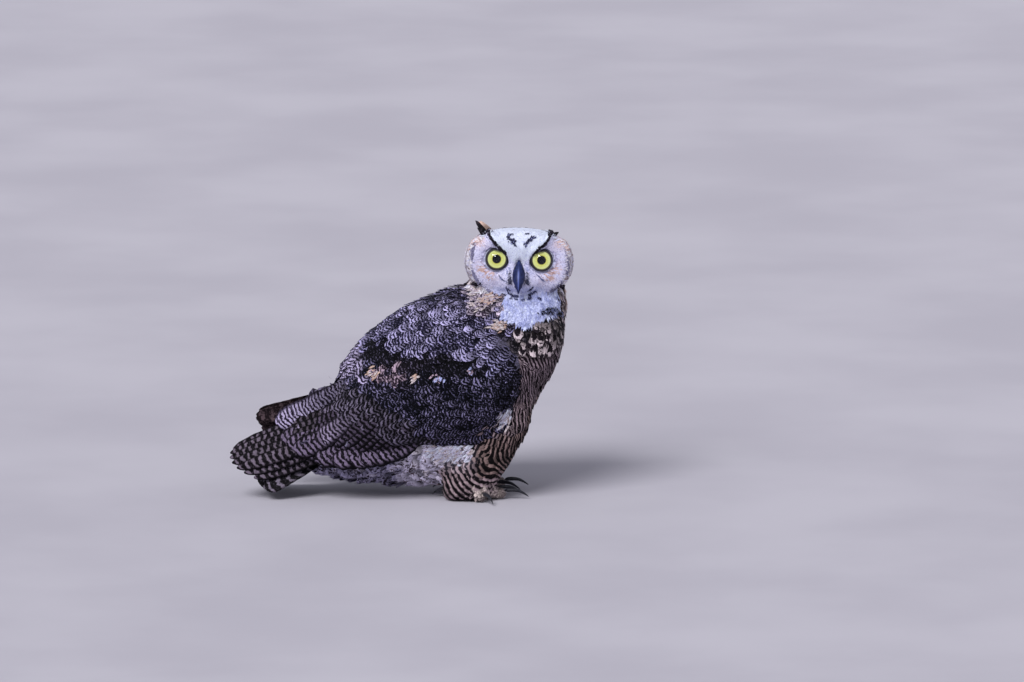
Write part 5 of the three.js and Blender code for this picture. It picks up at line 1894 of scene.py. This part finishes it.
def quills(name, slot, starts, ways, ups, lengths, thick, bend, kinds, rng):
    count, rows = len(starts), 7
    share = np.linspace(0, 1, rows)
    turn = np.array([0, 2 * math.pi / 3, 4 * math.pi / 3])
    across = unit(np.cross(ways, ups))
    ups = np.cross(across, ways)
    centre = (starts[:, None] + ways[:, None] * (share[None, :, None] * lengths[:, None, None])
              + ups[:, None] * (bend * share[None] ** 2 * lengths[:, None])[..., None])
    half = np.full((count, 1), thick) * (1 - share[None]) ** 0.7 * 0.5 + 0.06
    wide = across[:, None, None] * np.cos(turn)[None, None, :, None] * 1.6
    high = ups[:, None, None] * np.sin(turn)[None, None, :, None] * 0.7
    points = centre[:, :, None] + (wide + high) * half[..., None, None]
    each = rows * 3
    quads, cap = tubeFaces(rows, 3), np.array([[each - 3, each - 2, each - 1]])
    start = (np.arange(count) * each)[:, None, None]
    attributes = {
        "vane": np.stack([np.zeros((count, each)), (1 - np.repeat(share, 3))[None] * lengths[:, None],
                          np.repeat(rng.random(count)[:, None], each, 1)], -1).reshape(-1, 3),
        "spread": np.stack([np.zeros((count, each)), np.repeat(share, 3)[None].repeat(count, 0) * 0.6,
                            np.repeat(rng.random(count)[:, None], each, 1)], -1).reshape(-1, 3),
    }
    for key in markKeys:
        attributes[key] = np.repeat(markTable(kinds, key), each, 0)
    places = np.repeat((np.arange(count) + 0.5) / count, each)
    uv = np.stack([places, np.tile(np.repeat(share, 3), count)], 1)
    piece = makeMesh(name, points.reshape(-1, 3), (quads[None] + start).reshape(-1, 4),
                     (cap[None] + start).reshape(-1, 3), attributes, uv)
    finishPiece(piece, slot, softPlumage)


bristleDims = {
    "cheek": ((7.5, -8), (9, -24)),
    "count": 70, "length": 5.2, "varies": 1.2, "bend": -0.1, "thick": 0.2,
}


def bristles():
    rng = np.random.default_rng(61)
    d = bristleDims
    starts, ways, ups, lengths, kinds = [], [], [], [], []
    for sign in (-1, 1):
        for _ in range(d["count"]):
            u = rng.random()
            (a0, u0), (a1, u1) = d["cheek"]
            spot, normal = faceSpot(sign * mix(a0, a1, u) + rng.normal(0, 0.6), mix(u0, u1, u))
            out = np.array([sign * (0.5 + 0.5 * rng.random()), 0.35, -0.75 + 0.5 * rng.random()]) @ headAxes
            starts.append(spot)
            ways.append(unit(out))
            ups.append(normal)
            lengths.append(d["length"] + rng.normal(0, d["varies"]))
            kinds.append("inkPale" if rng.random() < 0.4 + 0.4 * u else "disc")
    shape = (np.array(values) for values in (starts, ways, ups, lengths))
    quills("bristles", "face_plumage", *shape, d["thick"], d["bend"], kinds, rng)


bristles()


# The claws: each CAD claw made smooth

def smoothClaws():
    for name in sorted(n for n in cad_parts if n.startswith("claw_")):
        points, tris = readMesh(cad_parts[name].data)
        points, merged = np.unique(np.round(points, 3), axis=0, return_inverse=True)
        tris = merged.reshape(-1)[tris]
        tris = tris[(tris[:, 0] != tris[:, 1]) & (tris[:, 1] != tris[:, 2]) & (tris[:, 0] != tris[:, 2])]
        middle = points.mean(0)
        spread = np.linalg.svd(points - middle, full_matrices=False)[2][0]
        along = (points - middle) @ spread
        share = (along - along.min()) / np.ptp(along)
        piece = makeMesh(name + "_horn", points, tris=tris,
                         attributes={"local": np.stack([np.full(len(points), 0.4), share, share * 0], 1)})
        bpy.context.view_layer.objects.active = piece
        smooth = piece.modifiers.new("smooth", "SUBSURF")
        smooth.levels = smooth.render_levels = 2
        bpy.ops.object.modifier_apply(modifier="smooth")
        finishPiece(piece, "horn", clawHorn, name)


smoothClaws()
tell("bill, bristles and claws")


# The camera, the lights and the floor

stageDims = {
    "aim": (129.5, 0, 186.4), "away": 13000, "above": 10,
    "across": 1228.8,        # what the frame takes in, in mm
    # name, the way it shines, strength, and how wide a patch of sky it comes from
    "suns": [("key", (0.40, 0.72, -0.80), 3.1, 30), ("fill", (-0.7, 0.5, -0.4), 0.35, 60)],
    "sky": 0.42, "skyColour": (0.87, 0.89, 1.0, 1), "floor": 16000, "floorSides": 64,
}


def makeStage():
    d = stageDims
    tilt = math.radians(d["above"])
    aim = Vector(d["aim"]) * mm
    camera = bpy.data.objects.new("camera", bpy.data.cameras.new("camera"))
    camera.location = aim + Vector((0, -math.cos(tilt), math.sin(tilt))) * d["away"] * mm
    camera.rotation_euler = (math.pi / 2 - tilt, 0, 0)
    camera.data.sensor_width = 36
    camera.data.lens = 36 * d["away"] / d["across"]
    camera.data.clip_end = 100
    bpy.context.scene.collection.objects.link(camera)
    bpy.context.scene.camera = camera
    for name, toward, strength, softness in d["suns"]:
        lamp = bpy.data.lights.new(name, "SUN")
        lamp.energy = strength
        lamp.angle = math.radians(softness)
        obj = bpy.data.objects.new(name, lamp)
        obj.rotation_euler = Vector(toward).to_track_quat("-Z", "Y").to_euler()
        bpy.context.scene.collection.objects.link(obj)
    world = bpy.data.worlds.new("sky")
    bpy.context.scene.world = world
    world.use_nodes = True
    sky = world.node_tree.nodes["Background"]
    sky.inputs["Color"].default_value = d["skyColour"]
    sky.inputs["Strength"].default_value = d["sky"]
    bpy.context.scene.view_settings.view_transform = "Standard"
    sides = d["floorSides"]
    turn = np.linspace(0, 2 * math.pi, sides + 1)[:-1]
    ring = [(math.cos(a) * d["floor"], math.sin(a) * d["floor"], 0) for a in turn]
    tris = [(0, i + 1, (i + 1) % sides + 1) for i in range(sides)]
    floor = makeMesh("floor", np.array([(0, 0, 0)] + ring), tris=tris)
    material, tree, shader = newMaterial("pale_floor")
    place = objectPlace(tree)
    soft = noiseOf(tree, place, 3.0, 5.0)
    colour = blendColour(tree, between(tree, soft, 0.3, 0.7), (0.42, 0.40, 0.46, 1), (0.47, 0.45, 0.51, 1))
    fill(tree, shader.inputs["Base Color"], colour)
    fill(tree, shader.inputs["Roughness"], between(tree, soft, 0.2, 0.8, 0.75, 0.9))
    floor.data.materials.append(material)


makeStage()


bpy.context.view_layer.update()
tell("done")
